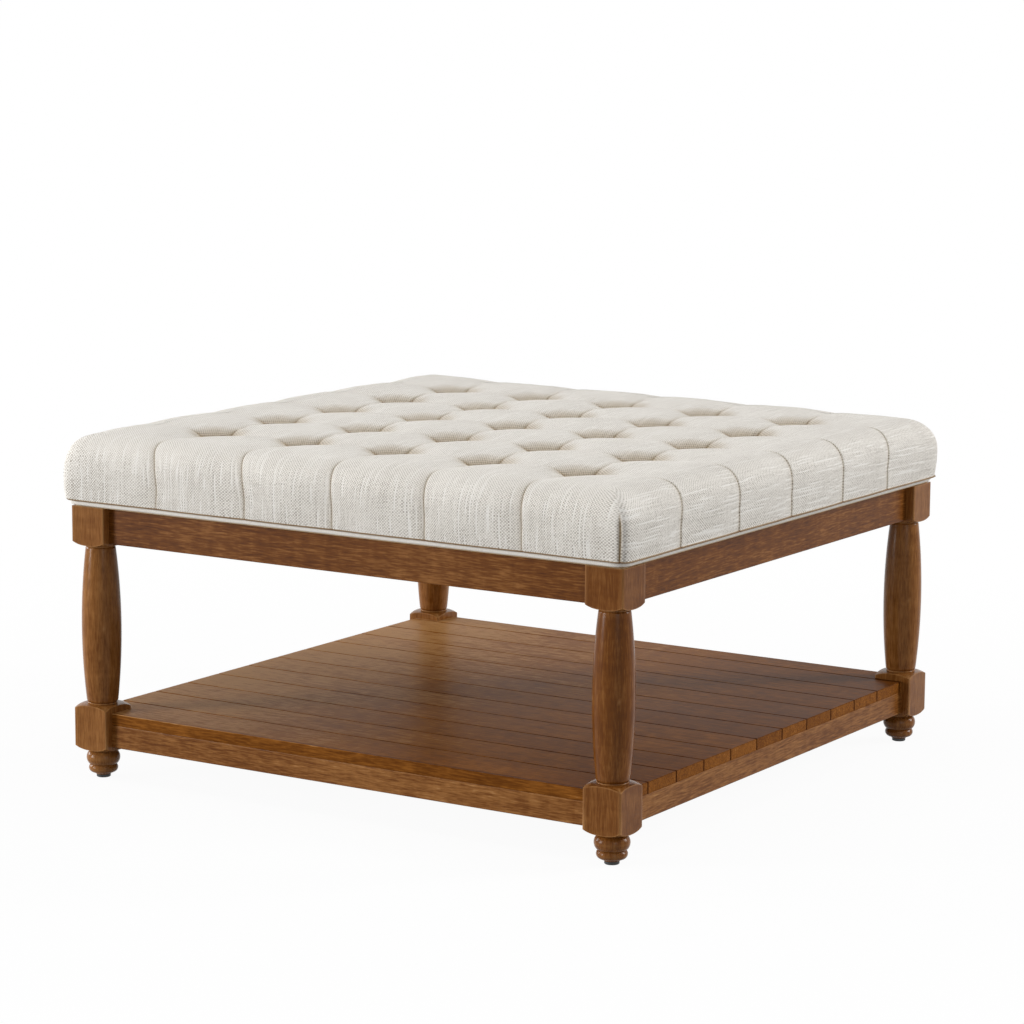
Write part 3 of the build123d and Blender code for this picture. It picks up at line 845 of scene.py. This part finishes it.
def linen_finish(name, bias=0.0, rough_spun=1.0, pale=0.0):
    """Linen with its weave and slubs, as strong as the cloth is rough spun, and pressed flatter on the top.
    One level from the gaps to the threads picks the colour, and pale lifts it. Folds get painted shade by
    the depth that the piece's marks give: to 1 a tan painted fold shade, and past it a painted seam shadow.
    The bias turns the weave, for cloth cut across its threads."""
    finish = new_finish(name)
    place = finish.cloth_place()
    if bias:
        place = finish.node("Mapping", inputs={"Vector": place, "Rotation": (0, 0, math.radians(bias))})
    on_top = finish.step(finish.part(finish.place(), "Z"), *pressed_heights)
    rough_spun = rough_spun * (1 - on_top * pressed_flat)
    wander = finish.noise(place, 30, 2, 0.5) - 0.5
    across = finish.part(place, "X") + wander * thread_wander
    along = finish.part(place, "Y") + wander * thread_wander
    threads, pale_on_top = weave(finish, across, along)
    tones = thread_tones(finish, across, along, 0.0, along_change)
    cross_tones = thread_tones(finish, along, across, 47.0, across_change)
    next_tones = thread_tones(finish, across + thread_pitch, along, 0.0, along_change)
    slubs = finish.step(tones, 0.59, 0.65) * rough_spun
    # Painted shadow beside each slub, where the raised thread would cast it.
    slub_painted_shadow = finish.step(next_tones, 0.60, 0.66) * rough_spun
    thin = (1 - finish.step(tones, 0.28, 0.42)) * rough_spun
    knots = (finish.noise(place, 460, 1, 0.5) - 0.5) * rough_spun
    cloud = finish.noise(place, 14, 3, 0.55) - 0.5
    spun = tones - 0.5 + (cross_tones - 0.5) * 0.6
    level = threads * 0.35 + pale_on_top * 0.75 + spun * rough_spun + knots * 1.6 + cloud * 0.4
    level = level + gap_shade - slub_painted_shadow * 0.12 + pale
    colour = finish.mix(finish.clamp(level), linen_gap, linen_thread)
    colour = finish.mix(slubs * slub_share, colour, linen_slub)
    depth = finish.mark()
    # Painted shade in folds by the depth mark, and a painted seam shadow past 1.
    colour = finish.mix(finish.clamp(depth), colour, painted_fold_shade, "MULTIPLY")
    colour = finish.mix(finish.clamp(depth - 1), colour, seam_shadow)
    height = threads * 0.7 + knots * 0.7 - thin * 0.05
    normal = finish.bump(height, weave_relief, 0.45)
    return finish.surface(
        Base_Color=colour, Roughness=0.94, Normal=normal, Specular_IOR_Level=0.12, Sheen_Weight=0.08,
        Sheen_Roughness=0.5
    )


cover_linen = linen_finish("cover_linen")
cord_linen = linen_finish("cord_linen", bias=45, rough_spun=0.4, pale=0.5)
print("linen threads", round(thread_pitch / mm, 2), "mm apart")

# %% [markdown]
# ## The tufted cushion
#
# Twenty-five twines pull the cover down through the foam. Between them it rises into thirty-six pillows,
# and from the outer tufts the slack is folded into pleats that run over the edge to the base. Cloth
# simulation would find such a shape slowly and a little differently each time the settings change. The
# forces here are simple enough to write down instead: a smooth padded block, and a depth by which each
# point is pulled in along the normal, made of a bowl at each tuft, shallow valleys and sharp creases along
# the lines between them, and a fold along each pleat. So the pattern stays exactly on the twines. A last
# step leans the whole shape a few millimetres, because no real filling is quite even.

# %% Sizes of the cushion
pad_low, pad_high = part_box("tufted_pad")
pad_base = pad_low.z / mm
pad_crest = pad_high.z / mm
pad_half = 464.0
brow = 404.0
edge_run = pad_half - brow
bulge_height = 436.0
base_tuck = 3.0
crown = 3.0
edge_power = 2 / 2.6
tuft_pitch = 151.0
tuft_lines = np.arange(-2, 3) * tuft_pitch
last_line = tuft_lines[-1]
crowded = np.array([0, 0.6, 1.5, 3, 5.5, 9])


def crowded_lines():
    """Coordinates across the cushion, about 5 mm apart and closer beside each tuft line."""
    aside = crowded[-1]
    near = (tuft_lines[:, None] + np.append(-crowded, crowded)).reshape(-1)
    between = [np.linspace(x + aside, x + tuft_pitch - aside, 27) for x in tuft_lines[:-1]]
    outside = np.linspace(last_line + aside, brow, 19)
    every = np.concatenate([near, *between, outside, -outside])
    return np.unique(np.round(every, 3))


def smooth(value, low, high):
    """Rises from 0 at low to 1 at high: the share s of the way, as 3 s squared less 2 s cubed."""
    share = np.clip((value - low) / (high - low), 0, 1)
    return share * share * (3 - 2 * share)


def top_height(x, y):
    """Height of the smooth block: the crest less a crown that grows with the distance from the middle,
    taken as the fourth root of the sum of fourth powers, squared."""
    return pad_crest - crown * np.sqrt((x / pad_half) ** 4 + (y / pad_half) ** 4)


lines = crowded_lines()
print("cushion", len(lines), "lines each way, crest", round(pad_crest, 1), "mm")

# %% What pulls the cover in
tuft_depth = 36.0
tuft_width = 18.5
pillow_round = 66.0
dome_depth = 6.0
dome_reach = 52.0
gather_depth = 0.3
arm_depth = 3.0
arm_width = 3.0
arm_reaches = (88, 64)
valley_depth = 2.2
valley_width = 19


def nearest(a):
    """Signed distance from the nearest tuft line."""
    gaps = a[..., None] - tuft_lines
    best = np.argmin(np.abs(gaps), axis=-1)[..., None]
    return np.take_along_axis(gaps, best, axis=-1)[..., 0]


def soft_noise(points, cell, seed):
    """Random heights from -1 to 1 at the corners of cubes, mixed inside each cube by smooth shares."""
    table = np.random.default_rng(seed).uniform(-1, 1, (32, 32, 32))
    scaled = points / cell + 100
    corner = np.floor(scaled).astype(int)
    share = scaled - corner
    share = share * share * (3 - 2 * share)
    total = 0
    for step in np.ndindex(2, 2, 2):
        weight = np.prod(np.where(step, share, 1 - share), axis=-1)
        spot = (corner + step) % 32
        total = total + weight * table[spot[..., 0], spot[..., 1], spot[..., 2]]
    return total


def wrinkles(points):
    """Slack in the cloth: noise of three sizes, each with its height, cell and seed, in millimetres."""
    sizes = ((0.8, 62, 5), (0.35, 27, 6), (0.12, 12, 7))
    return sum(height * soft_noise(points, cell, seed) for height, cell, seed in sizes)


def pillow_gap(dx, dy):
    """How far a place near a tuft lies outside the pillows, which are squares with rounded corners:
    the distance to the corner's centre less its radius, and on the flat sides less than nothing."""
    ax = pillow_round - np.abs(dx)
    ay = pillow_round - np.abs(dy)
    at_corner = np.hypot(ax, ay) - pillow_round
    return np.where((ax > 0) & (ay > 0), at_corner, -np.minimum(np.abs(dx), np.abs(dy)))


def tuft_pull(x, y):
    """Depth share of the hollows round the tufts, and the depths of what lies round them. Four rounded
    pillow corners leave a star between them. The share falls off as an exponential of the distance from
    the star's middle, measured across the star, and fades along its arms. Small gathers run into each
    tuft, as a cosine round it, each arm has a narrow crease down its middle, and the pillows slope down
    to each tuft in a broad bell."""
    dx = nearest(x)
    dy = nearest(y)
    r = np.hypot(dx, dy)
    across = pillow_round * (math.sqrt(2) - 1) - pillow_gap(dx, dy)
    share = np.exp(-np.maximum(across, 0) / tuft_width) * (1 - 0.98 * smooth(r, 14, 48))
    waves = np.cos(18 * np.arctan2(dy, dx) + 0.05 * x) * np.exp(-(((r - 18) / 11) ** 2))
    aside = np.minimum(np.abs(dx), np.abs(dy))
    reach = np.where(np.abs(dx) < np.abs(dy), *arm_reaches)
    arm = np.exp(-aside / arm_width) * smooth(r, 6, 24) * (1 - smooth(r, reach / 2, reach))
    return share, gather_depth * waves, arm, dome_depth * np.exp(-((r / dome_reach) ** 2))


def valley(a):
    """A shallow rounded valley along a tuft line."""
    return valley_depth * np.exp(-((nearest(a) / valley_width) ** 2))


print("tufts", len(tuft_lines) ** 2, "in hollows", tuft_depth, "mm deep")

# %% Pleats
pleat_swell = 3.4
pleat_crease = 1.3
pleat_lip = 0.7
crease_width = 1.1
lip_width = 7
corner_swell_reach = 120.0
drawn_flat_below = 34
well_above_base = 60.0
hollow_shade = 0.80
crease_shade = 0.6


def pleat_pull(a, out, rise):
    """Depth and shade of the pleats at a place a along an edge and out beyond the outer tuft line. The
    cloth swells between the pleats as the square of the share of the way to the nearest one, the pleat
    is a narrow crease, and the cloth on one side of it lies over the other. Near the base all of it is
    drawn flat by the seam."""
    gap = nearest(a)
    side = np.abs(gap)
    reach = np.where(np.abs(a) > last_line, corner_swell_reach, tuft_pitch / 2)
    growth = smooth(out, 92, 175)
    held = 1 - 0.7 * (1 - smooth(rise, 0, drawn_flat_below))
    swell = pleat_swell * growth * held * (1 - np.clip(side / reach, 0, 1)) ** 2
    begun = smooth(out, 96, 150)
    crease = pleat_crease * begun * (0.45 + 0.55 * held) * np.exp(-side / crease_width)
    over = np.where(gap > 0, -pleat_lip, 0.6 * pleat_lip) * np.exp(-side / lip_width) * begun
    shade_line = (np.exp(-side / 0.9) + 0.45 * np.exp(-side / 6) * (gap < 0)) * begun
    return (swell + crease + over) * (out > 0), shade_line * (out > 0)


def top_pull(x, y):
    """Depth and shade over the top: the hollows with all that lies round them, shallow valleys along the
    lines both ways, and outside the outer tufts the start of the pleats."""
    share, gathers, arm, dome = tuft_pull(x, y)
    front, front_shade = pleat_pull(x, np.abs(y) - last_line, well_above_base)
    right, right_shade = pleat_pull(y, np.abs(x) - last_line, well_above_base)
    others = valley(x) + valley(y) + front + right + gathers + dome
    depth = tuft_depth * share + (1 - share) * others + arm_depth * arm
    hollow = hollow_shade * (1 - smooth(np.hypot(nearest(x), nearest(y)), 14, 54))
    return depth, np.clip(hollow + crease_shade * arm + crease_shade * (front_shade + right_shade), 0, 1)


print("pleats", 4 * len(tuft_lines), "that swell by", pleat_swell, "mm")

# %% Uneven filling
filling_lean = 2.5
left_rise = 2.5
left_draw = 5.0
cover_shift = 2.5


def with_filling(points):
    """Points moved by the filling, which is never quite even. It stands higher to the left, in step with
    the distance from the middle, and a little more along the left side. The whole cover was drawn on a
    few millimetres to the left, and below the brow its left half was drawn back in."""
    x, y, z = points[..., 0], points[..., 1], points[..., 2]
    left = smooth(-x, 250, 440) * (1 - 0.8 * smooth(-y, 250, 440))
    higher = (left_rise * left - filling_lean * x / pad_half) * smooth(z, 425, 480)
    on_side = (0.6 + 0.4 * smooth(z, 403, 430)) * (1 - smooth(z, 462, 488))
    further = cover_shift * smooth(z, pad_base, 404) - left_draw * smooth(-x, -100, 460) * on_side
    return np.stack([x - further, y, z + higher], axis=-1)


print("filling up to", filling_lean + left_rise, "mm higher at the left")

# %% Rows down the sides
def edge_rows():
    """Offsets and heights down the cushion's side, as shares. Over the edge they follow an ellipse with
    a power a little above two, which is fuller than a round, and below it the side draws in as a square."""
    turn = np.linspace(0, math.pi / 2, 19)
    out = edge_run * np.sin(turn) ** edge_power
    rise = np.cos(turn) ** edge_power
    fall = np.append(np.linspace(0, 0.875, 8)[1:], (0.93, 0.96, 1.0))
    out = np.append(out, edge_run - base_tuck * fall**2)
    return out, np.append(rise, 0 * fall), np.append(0 * turn, fall)


def side_section(start_height):
    """Offset, height, inward normal and run down the cloth for each row, below each starting height."""
    out, rise, fall = (part[:, None] for part in edge_rows())
    height = bulge_height + rise * (start_height - bulge_height) - fall * (bulge_height - pad_base)
    out = np.broadcast_to(out, height.shape)
    d_out = np.gradient(out, axis=0)
    d_height = np.gradient(height, axis=0)
    length = np.hypot(d_out, d_height)
    normal_out = d_height / length
    normal_up = -d_out / length
    normal_out[0] = 0
    normal_up[0] = -1
    steps = np.hypot(np.diff(out, axis=0), np.diff(height, axis=0))
    run = np.concatenate([np.zeros((1, out.shape[1])), np.cumsum(steps, axis=0)])
    return out, height, normal_out, normal_up, run


inner_play = 0.4
deck_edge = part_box("deck")[1].x / mm + inner_play
deck_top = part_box("deck")[1].z / mm
foam_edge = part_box("foam_core")[1].x / mm + inner_play
foam_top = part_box("foam_core")[1].z / mm + inner_play
under_rows = [(deck_edge, pad_base), (deck_edge, deck_top), (foam_edge, deck_top), (foam_edge, foam_top)]
print("side rows", len(edge_rows()[0]), "and", len(under_rows) + 1, "under the cushion")

# %% The four sides
side_outward = ((0, -1), (1, 0), (0, 1), (-1, 0))
pleat_drifts = ((12, 14, 9, 7, 6), (-16, -10, -11, -8, -17), (-3, 5, 2, -4, 3), (5, -2, 4, 3, -5))
pleat_shade = 0.7
seam_shade = 1.8
seam_rises = (1.0, 2.4)


def turned_to_side(side, along, out, height):
    """A point of the front, given along it, out from the middle and up, turned to another side."""
    out_x, out_y = side_outward[side]
    x = -out_y * along + out_x * out
    y = out_x * along + out_y * out
    return np.stack([x, y, np.broadcast_to(height, x.shape)], axis=-1)


def cloth_of_side(side, along, out):
    return turned_to_side(side, along, out, 0 * out)[..., :2]


def closed_surface(spot, section, depth, mark, cloth, under):
    """A side or corner, where spot gives the point at an offset and height. The depth, less the wrinkles,
    which fade towards the base, goes along the inward normal, and the filling moves the result. The seam at
    the base is marked for painted shade. Rows under the cushion and up inside it to the middle close the
    surface, with the cloth and mark of the last row."""
    out, height, normal_out, normal_up, _ = section
    rise = height - pad_base
    depth = depth - wrinkles(spot(out, height)) * (0.25 + 0.75 * smooth(rise, 0, 20))
    points = with_filling(spot(out + depth * normal_out, height + depth * normal_up))
    middle = np.broadcast_to([0, 0, foam_top], (1, *points.shape[1:]))
    points = np.concatenate([points, *under, middle])
    # Painted shade along the seam at the base.
    mark = mark + seam_shade * (1 - smooth(rise, *seam_rises))
    more = ((0, len(under) + 1), (0, 0))
    return points * mm, np.pad(cloth, (*more, (0, 0)), "edge") * mm, np.pad(mark, more, "edge")


def side_patch(side):
    """One side of the cushion as a grid of rows down the cloth and columns along the edge. The columns
    drift with the pleats, which never hang quite straight. The top's valleys run out below the brow."""
    section = side_section(top_height(lines, brow)[None, :])
    height, run = section[1], section[-1]
    a = np.broadcast_to(lines, run.shape)
    beyond = brow - last_line + run
    depth, shade_line = pleat_pull(a, beyond, height - pad_base)
    depth = depth + (valley(a) + valley(beyond + last_line)) * (1 - smooth(run, 0, 40))
    drifted = a
    for line, distance in zip(tuft_lines, pleat_drifts[side]):
        near = 1 - smooth(np.abs(a - line), 0, 62)
        drifted = drifted + distance * near * smooth(run, 25, 110)
    under = [
        turned_to_side(side, lines * reach / brow, 0 * lines + reach, z)[None] for reach, z in under_rows
    ]
    return closed_surface(
        lambda out, height: turned_to_side(side, drifted, brow + out, height),
        section, depth, pleat_shade * shade_line, cloth_of_side(side, a, brow + run), under
    )


sides = [side_patch(side) for side in range(4)]
print("each side", *sides[0][0].shape[:2], "points")

# %% The four corners
corner_powers = (9.0, 5.0, 5.0, 7.0)
under_power = 20
seam_turns = (41.0, 46.0, 44.0, 28.0)
lip_sides = (-1, -1, 1, 1)
slit_depth = 1.6
slit_width = 0.9
lip_rise = 0.7
slit_shade = 1.6


def corner_reach(turn, power):
    """Distance factor that makes a round corner fuller: one over the root of the powers' sum."""
    return (np.abs(np.cos(turn)) ** power + np.abs(np.sin(turn)) ** power) ** (-1 / power)


def corner_point(side, turn, out, height, power):
    """A point of the corner after a side, at a turn from that side's end to the next side's start."""
    reach = out * corner_reach(turn, power)
    return turned_to_side(side, brow + reach * np.sin(turn), brow + reach * np.cos(turn), height)


def corner_patches(side):
    """The corner in two grids that meet at its seam, with columns crowded there. Each side's cloth wraps
    round to the seam, which opens a little as a slit below the brow, with a lip on the one side of it
    where the cloth is turned in."""
    seam = math.radians(seam_turns[side])
    share = np.linspace(0, 1, 13)
    section = side_section(np.full((1, len(share)), top_height(brow, brow)))
    out, height, run = section[0], section[1], section[-1]
    open_share = 1 - smooth(height, 446, 472)
    made = []
    for turns in (seam * (1 - (1 - share) ** 1.5), seam + (math.pi / 2 - seam) * share**1.5):
        turn = np.broadcast_to(turns, run.shape)
        aside = (turn - seam) * out
        slit = slit_depth * np.exp(-np.abs(aside) / slit_width)
        lip = lip_rise * np.exp(-(((aside * lip_sides[side] - 5) / 4) ** 2))
        if made:
            cloth = cloth_of_side((side + 1) % 4, -brow - out * (math.pi / 2 - turn), brow + run)
        else:
            cloth = cloth_of_side(side, brow + out * turn, brow + run)
        mark = slit_shade * np.exp(-np.abs(aside) / 0.8)
        under = [
            corner_point(side, turns, reach - brow, z, under_power)[None] for reach, z in under_rows
        ]
        made.append(closed_surface(
            lambda out, height: corner_point(side, turn, out, height, corner_powers[side]),
            section, (slit - lip) * open_share, mark * open_share, cloth, under
        ))
    return made


corners = [corner_patches(side) for side in range(4)]
print("each corner two grids of", *corners[0][0][0].shape[:2], "points")

# %% The top and the whole cushion
def top_patch():
    """The top as a grid, each point lowered by the pull there. The wrinkles fade towards the tufts."""
    x, y = np.meshgrid(lines, lines)
    height = top_height(x, y)
    # The pull also gives the painted shade of the hollows, creases and pleats.
    depth, fold = top_pull(x, y)
    slack = 1 - 0.8 * np.exp(-(np.hypot(nearest(x), nearest(y)) / 20))
    z = height - depth + wrinkles(np.stack([x, y, height], axis=-1)) * slack
    return with_filling(np.stack([x, y, z], axis=-1)) * mm, np.stack([x, y], axis=-1) * mm, fold


cushion_patches = [top_patch()]
for side, corner in zip(sides, corners):
    cushion_patches += [side, *corner]
cushion = make_piece("tufted_cushion", cushion_patches, cover_linen)
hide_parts("tufted_pad")

# %% [markdown]
# ## The welt cord
#
# A cord wrapped in the same linen hides the joint between cover and frame. It is cut on the bias, across
# the threads, so that it bends round the corners without creases, and its weave runs aslant. A round
# profile carried along a rounded square gives both the shape and the map for the weave.

# %% Welt
welt_low, welt_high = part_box("welt")
welt_radius = 4.0
welt_lift = 1.6
welt_proud = 1.0
welt_middle = welt_high.x / mm - welt_radius + welt_proud
welt_corner = 18.0


def welt_path():
    """Middle line of the cord, seen from above, with its outward direction: straight runs joined by
    quarter rounds, where the direction turns evenly."""
    straight_half = welt_middle - welt_corner
    run = np.linspace(-straight_half, straight_half, 150)
    turn = np.linspace(0, math.pi / 2, 13)[1:]
    along = np.append(run, straight_half + welt_corner * np.sin(turn))
    out = np.append(0 * run + welt_middle, straight_half + welt_corner * np.cos(turn))
    facing = np.append(0 * run, turn)
    places = np.concatenate([turned_to_side(side, along, out, 0 * out) for side in range(4)])
    outward = [turned_to_side(side, np.sin(facing), np.cos(facing), 0 * facing) for side in range(4)]
    outward = np.concatenate(outward)
    return np.append(places, places[:1], axis=0), np.append(outward, outward[:1], axis=0)


def welt_surface():
    """A circle of the cord's radius, which wavers by a fiftieth, in the plane of the outward direction and
    the upright. Along its low side, where it turns in to the wood, it is marked for painted shade."""
    places, outward = welt_path()
    turn = np.linspace(0, 2 * math.pi, 21)
    run = np.append(0, np.cumsum(np.linalg.norm(np.diff(places, axis=0), axis=1)))
    radius = welt_radius * (1 + 0.02 * np.sin(run / 23) * np.sin(run / 61))
    section = outward[:, None, :] * np.cos(turn)[None, :, None]
    section = section + np.array([0, 0, 1]) * np.sin(turn)[None, :, None]
    middle = (welt_low.z + welt_high.z) / 2 / mm + welt_lift
    points = places[:, None, :] + radius[:, None, None] * section + np.array([-cover_shift, 0, middle])
    cloth = np.stack(np.broadcast_arrays(run[:, None], welt_radius * turn[None, :]), axis=-1)
    # Painted shade on the cord's low side, where it turns in to the wood.
    painted_low_shade = 1 - smooth(np.sin(turn), -0.99, -0.85)
    return points * mm, cloth * mm, np.broadcast_to(2 * painted_low_shade, cloth.shape[:2])


welt = make_piece("welt_cord", [welt_surface()], cord_linen)
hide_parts("welt")

# %% [markdown]
# ## Hidden parts
#
# The parts that nobody sees from the front still belong to the table and show from below. Each gets a
# finish with the marks of its own making: the plies of the deck, the drawn zinc of the bolts, the matted
# fibres of the dust cover.

# %% Raw wood and plywood
def raw_wood_finish(name, along):
    """Planed pine without stain: pale, with reddish lines of late growth."""
    finish = new_finish(name)
    place = finish.place()
    figure, lines_across, pores, curl = grain_layers(finish, place, along)
    rings = finish.step(figure + lines_across * 0.35, 0.62, 0.82)
    colour = finish.mix(rings, shade(214, 184, 136), shade(176, 128, 78))
    colour = finish.mix(finish.step(pores, 0.62, 0.7) * 0.3, colour, shade(120, 82, 48))
    normal = finish.bump(lines_across + rings * 0.5, 0.15 * mm, 0.5)
    return finish.surface(Base_Color=colour, Roughness=0.62 + curl * 0.1, Normal=normal)


ply_height = 1.67 * mm


def plywood_finish():
    """Birch plywood: a calm face, and on the edges plies that are light and dark by turns."""
    finish = new_finish("plywood")
    place = finish.place()
    figure, lines_across, pores, curl = grain_layers(finish, place, "X")
    ply = finish.math("FLOOR", finish.part(place, "Z") / ply_height)
    turn = finish.math("FLOORED_MODULO", ply, 2.0)
    colour = finish.mix(turn, shade(206, 176, 130), shade(164, 124, 82))
    colour = finish.mix(finish.clamp(figure * 0.6 + lines_across * 0.3), colour, shade(224, 198, 156))
    normal = finish.bump(lines_across + curl * 0.3, 0.12 * mm, 0.4)
    return finish.surface(Base_Color=colour, Roughness=0.6 + pores * 0.1, Normal=normal)


give(raw_wood_finish("batten_pine", "Y"), "batten_")
give(raw_wood_finish("brace_pine", "Z"), "apron_brace_", "shelf_brace_")
give(plywood_finish(), "deck")

# %% Steel, plastic, cloth, foam and twine
def zinc_finish():
    """Zinc-plated steel: bright patches of crystals, dulled in places."""
    finish = new_finish("zinc_steel")
    place = finish.place()
    dull = finish.noise(place, 90, 3, 0.6)
    fine = finish.noise(place, 900, 2, 0.5)
    colour = finish.mix(dull, shade(196, 198, 202), shade(150, 150, 150))
    rough = 0.24 + dull * 0.25
    normal = finish.bump(fine, 0.05 * mm, 0.3)
    return finish.surface(Base_Color=colour, Metallic=1.0, Roughness=rough, Normal=normal)


def glide_finish():
    """Moulded black plastic with a faint grain and scuffs."""
    finish = new_finish("glide_plastic")
    place = finish.place()
    grain = finish.noise(place, 1400, 2, 0.6)
    scuff = finish.step(finish.noise(place, 160, 3, 0.6), 0.55, 0.75)
    colour = finish.mix(scuff * 0.5, shade(22, 21, 20), shade(52, 50, 47))
    normal = finish.bump(grain, 0.06 * mm, 0.4)
    return finish.surface(Base_Color=colour, Roughness=0.42 + scuff * 0.2, Normal=normal)


def dust_cloth_finish():
    """Black spun cloth: short matted fibres in every direction."""
    finish = new_finish("dust_cloth")
    place = finish.place()
    fibres = finish.noise(finish.scaled(place, (1, 0.25, 1)), 700, 3, 0.7, 2.0)
    others = finish.noise(finish.scaled(place, (0.25, 1, 1)), 700, 3, 0.7, 2.0)
    mat = finish.clamp(fibres + others - 0.5)
    colour = finish.mix(mat, shade(18, 18, 19), shade(62, 62, 64))
    return finish.surface(Base_Color=colour, Roughness=0.95, Normal=finish.bump(mat, 0.15 * mm, 0.6))


def foam_finish():
    """Open foam: a cream solid full of small cells."""
    finish = new_finish("seat_foam")
    place = finish.place()
    cells = finish.node("TexVoronoi", inputs={"Vector": place, "Scale": 800.0})
    cloud = finish.noise(place, 14, 2, 0.5)
    colour = finish.mix(finish.clamp(cells + cloud * 0.4), shade(196, 178, 120), shade(232, 220, 176))
    return finish.surface(Base_Color=colour, Roughness=0.95, Normal=finish.bump(cells, 0.3 * mm, 0.7))


strand_pitch = 2.2 * mm


def twine_finish():
    """Twisted twine: slanting strands, with painted light on top and painted shade between."""
    finish = new_finish("tuft_twine")
    place = finish.place()
    slant = finish.part(place, "Z") + finish.part(place, "X") * 0.9 + finish.part(place, "Y") * 0.9
    strand = finish.math("SINE", slant * (2 * math.pi / strand_pitch)) * 0.5 + 0.5
    fluff = finish.noise(place, 900, 3, 0.6)
    colour = finish.mix(finish.clamp(strand + fluff - 0.5), shade(150, 132, 100), shade(224, 214, 190))
    return finish.surface(Base_Color=colour, Roughness=0.9, Normal=finish.bump(strand, 0.3 * mm, 0.7))


give(zinc_finish(), "hanger_bolts", "washers", "nuts", "deck_screws", "tuft_anchors")
give(glide_finish(), "glide_")
give(dust_cloth_finish(), "dust_cover")
give(foam_finish(), "foam_core")
give(twine_finish(), "tuft_twines")

# %% [markdown]
# ## Check the size
#
# The dressed table must still be the size of the construction. Both boxes are kept for comparison.

# %% Compare the boxes
dressed_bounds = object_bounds()
growth = [(b - a) / mm for a, b in zip(cad_bounds[1], dressed_bounds[1])]
print("grown by", [round(g, 1) for g in growth], "mm")
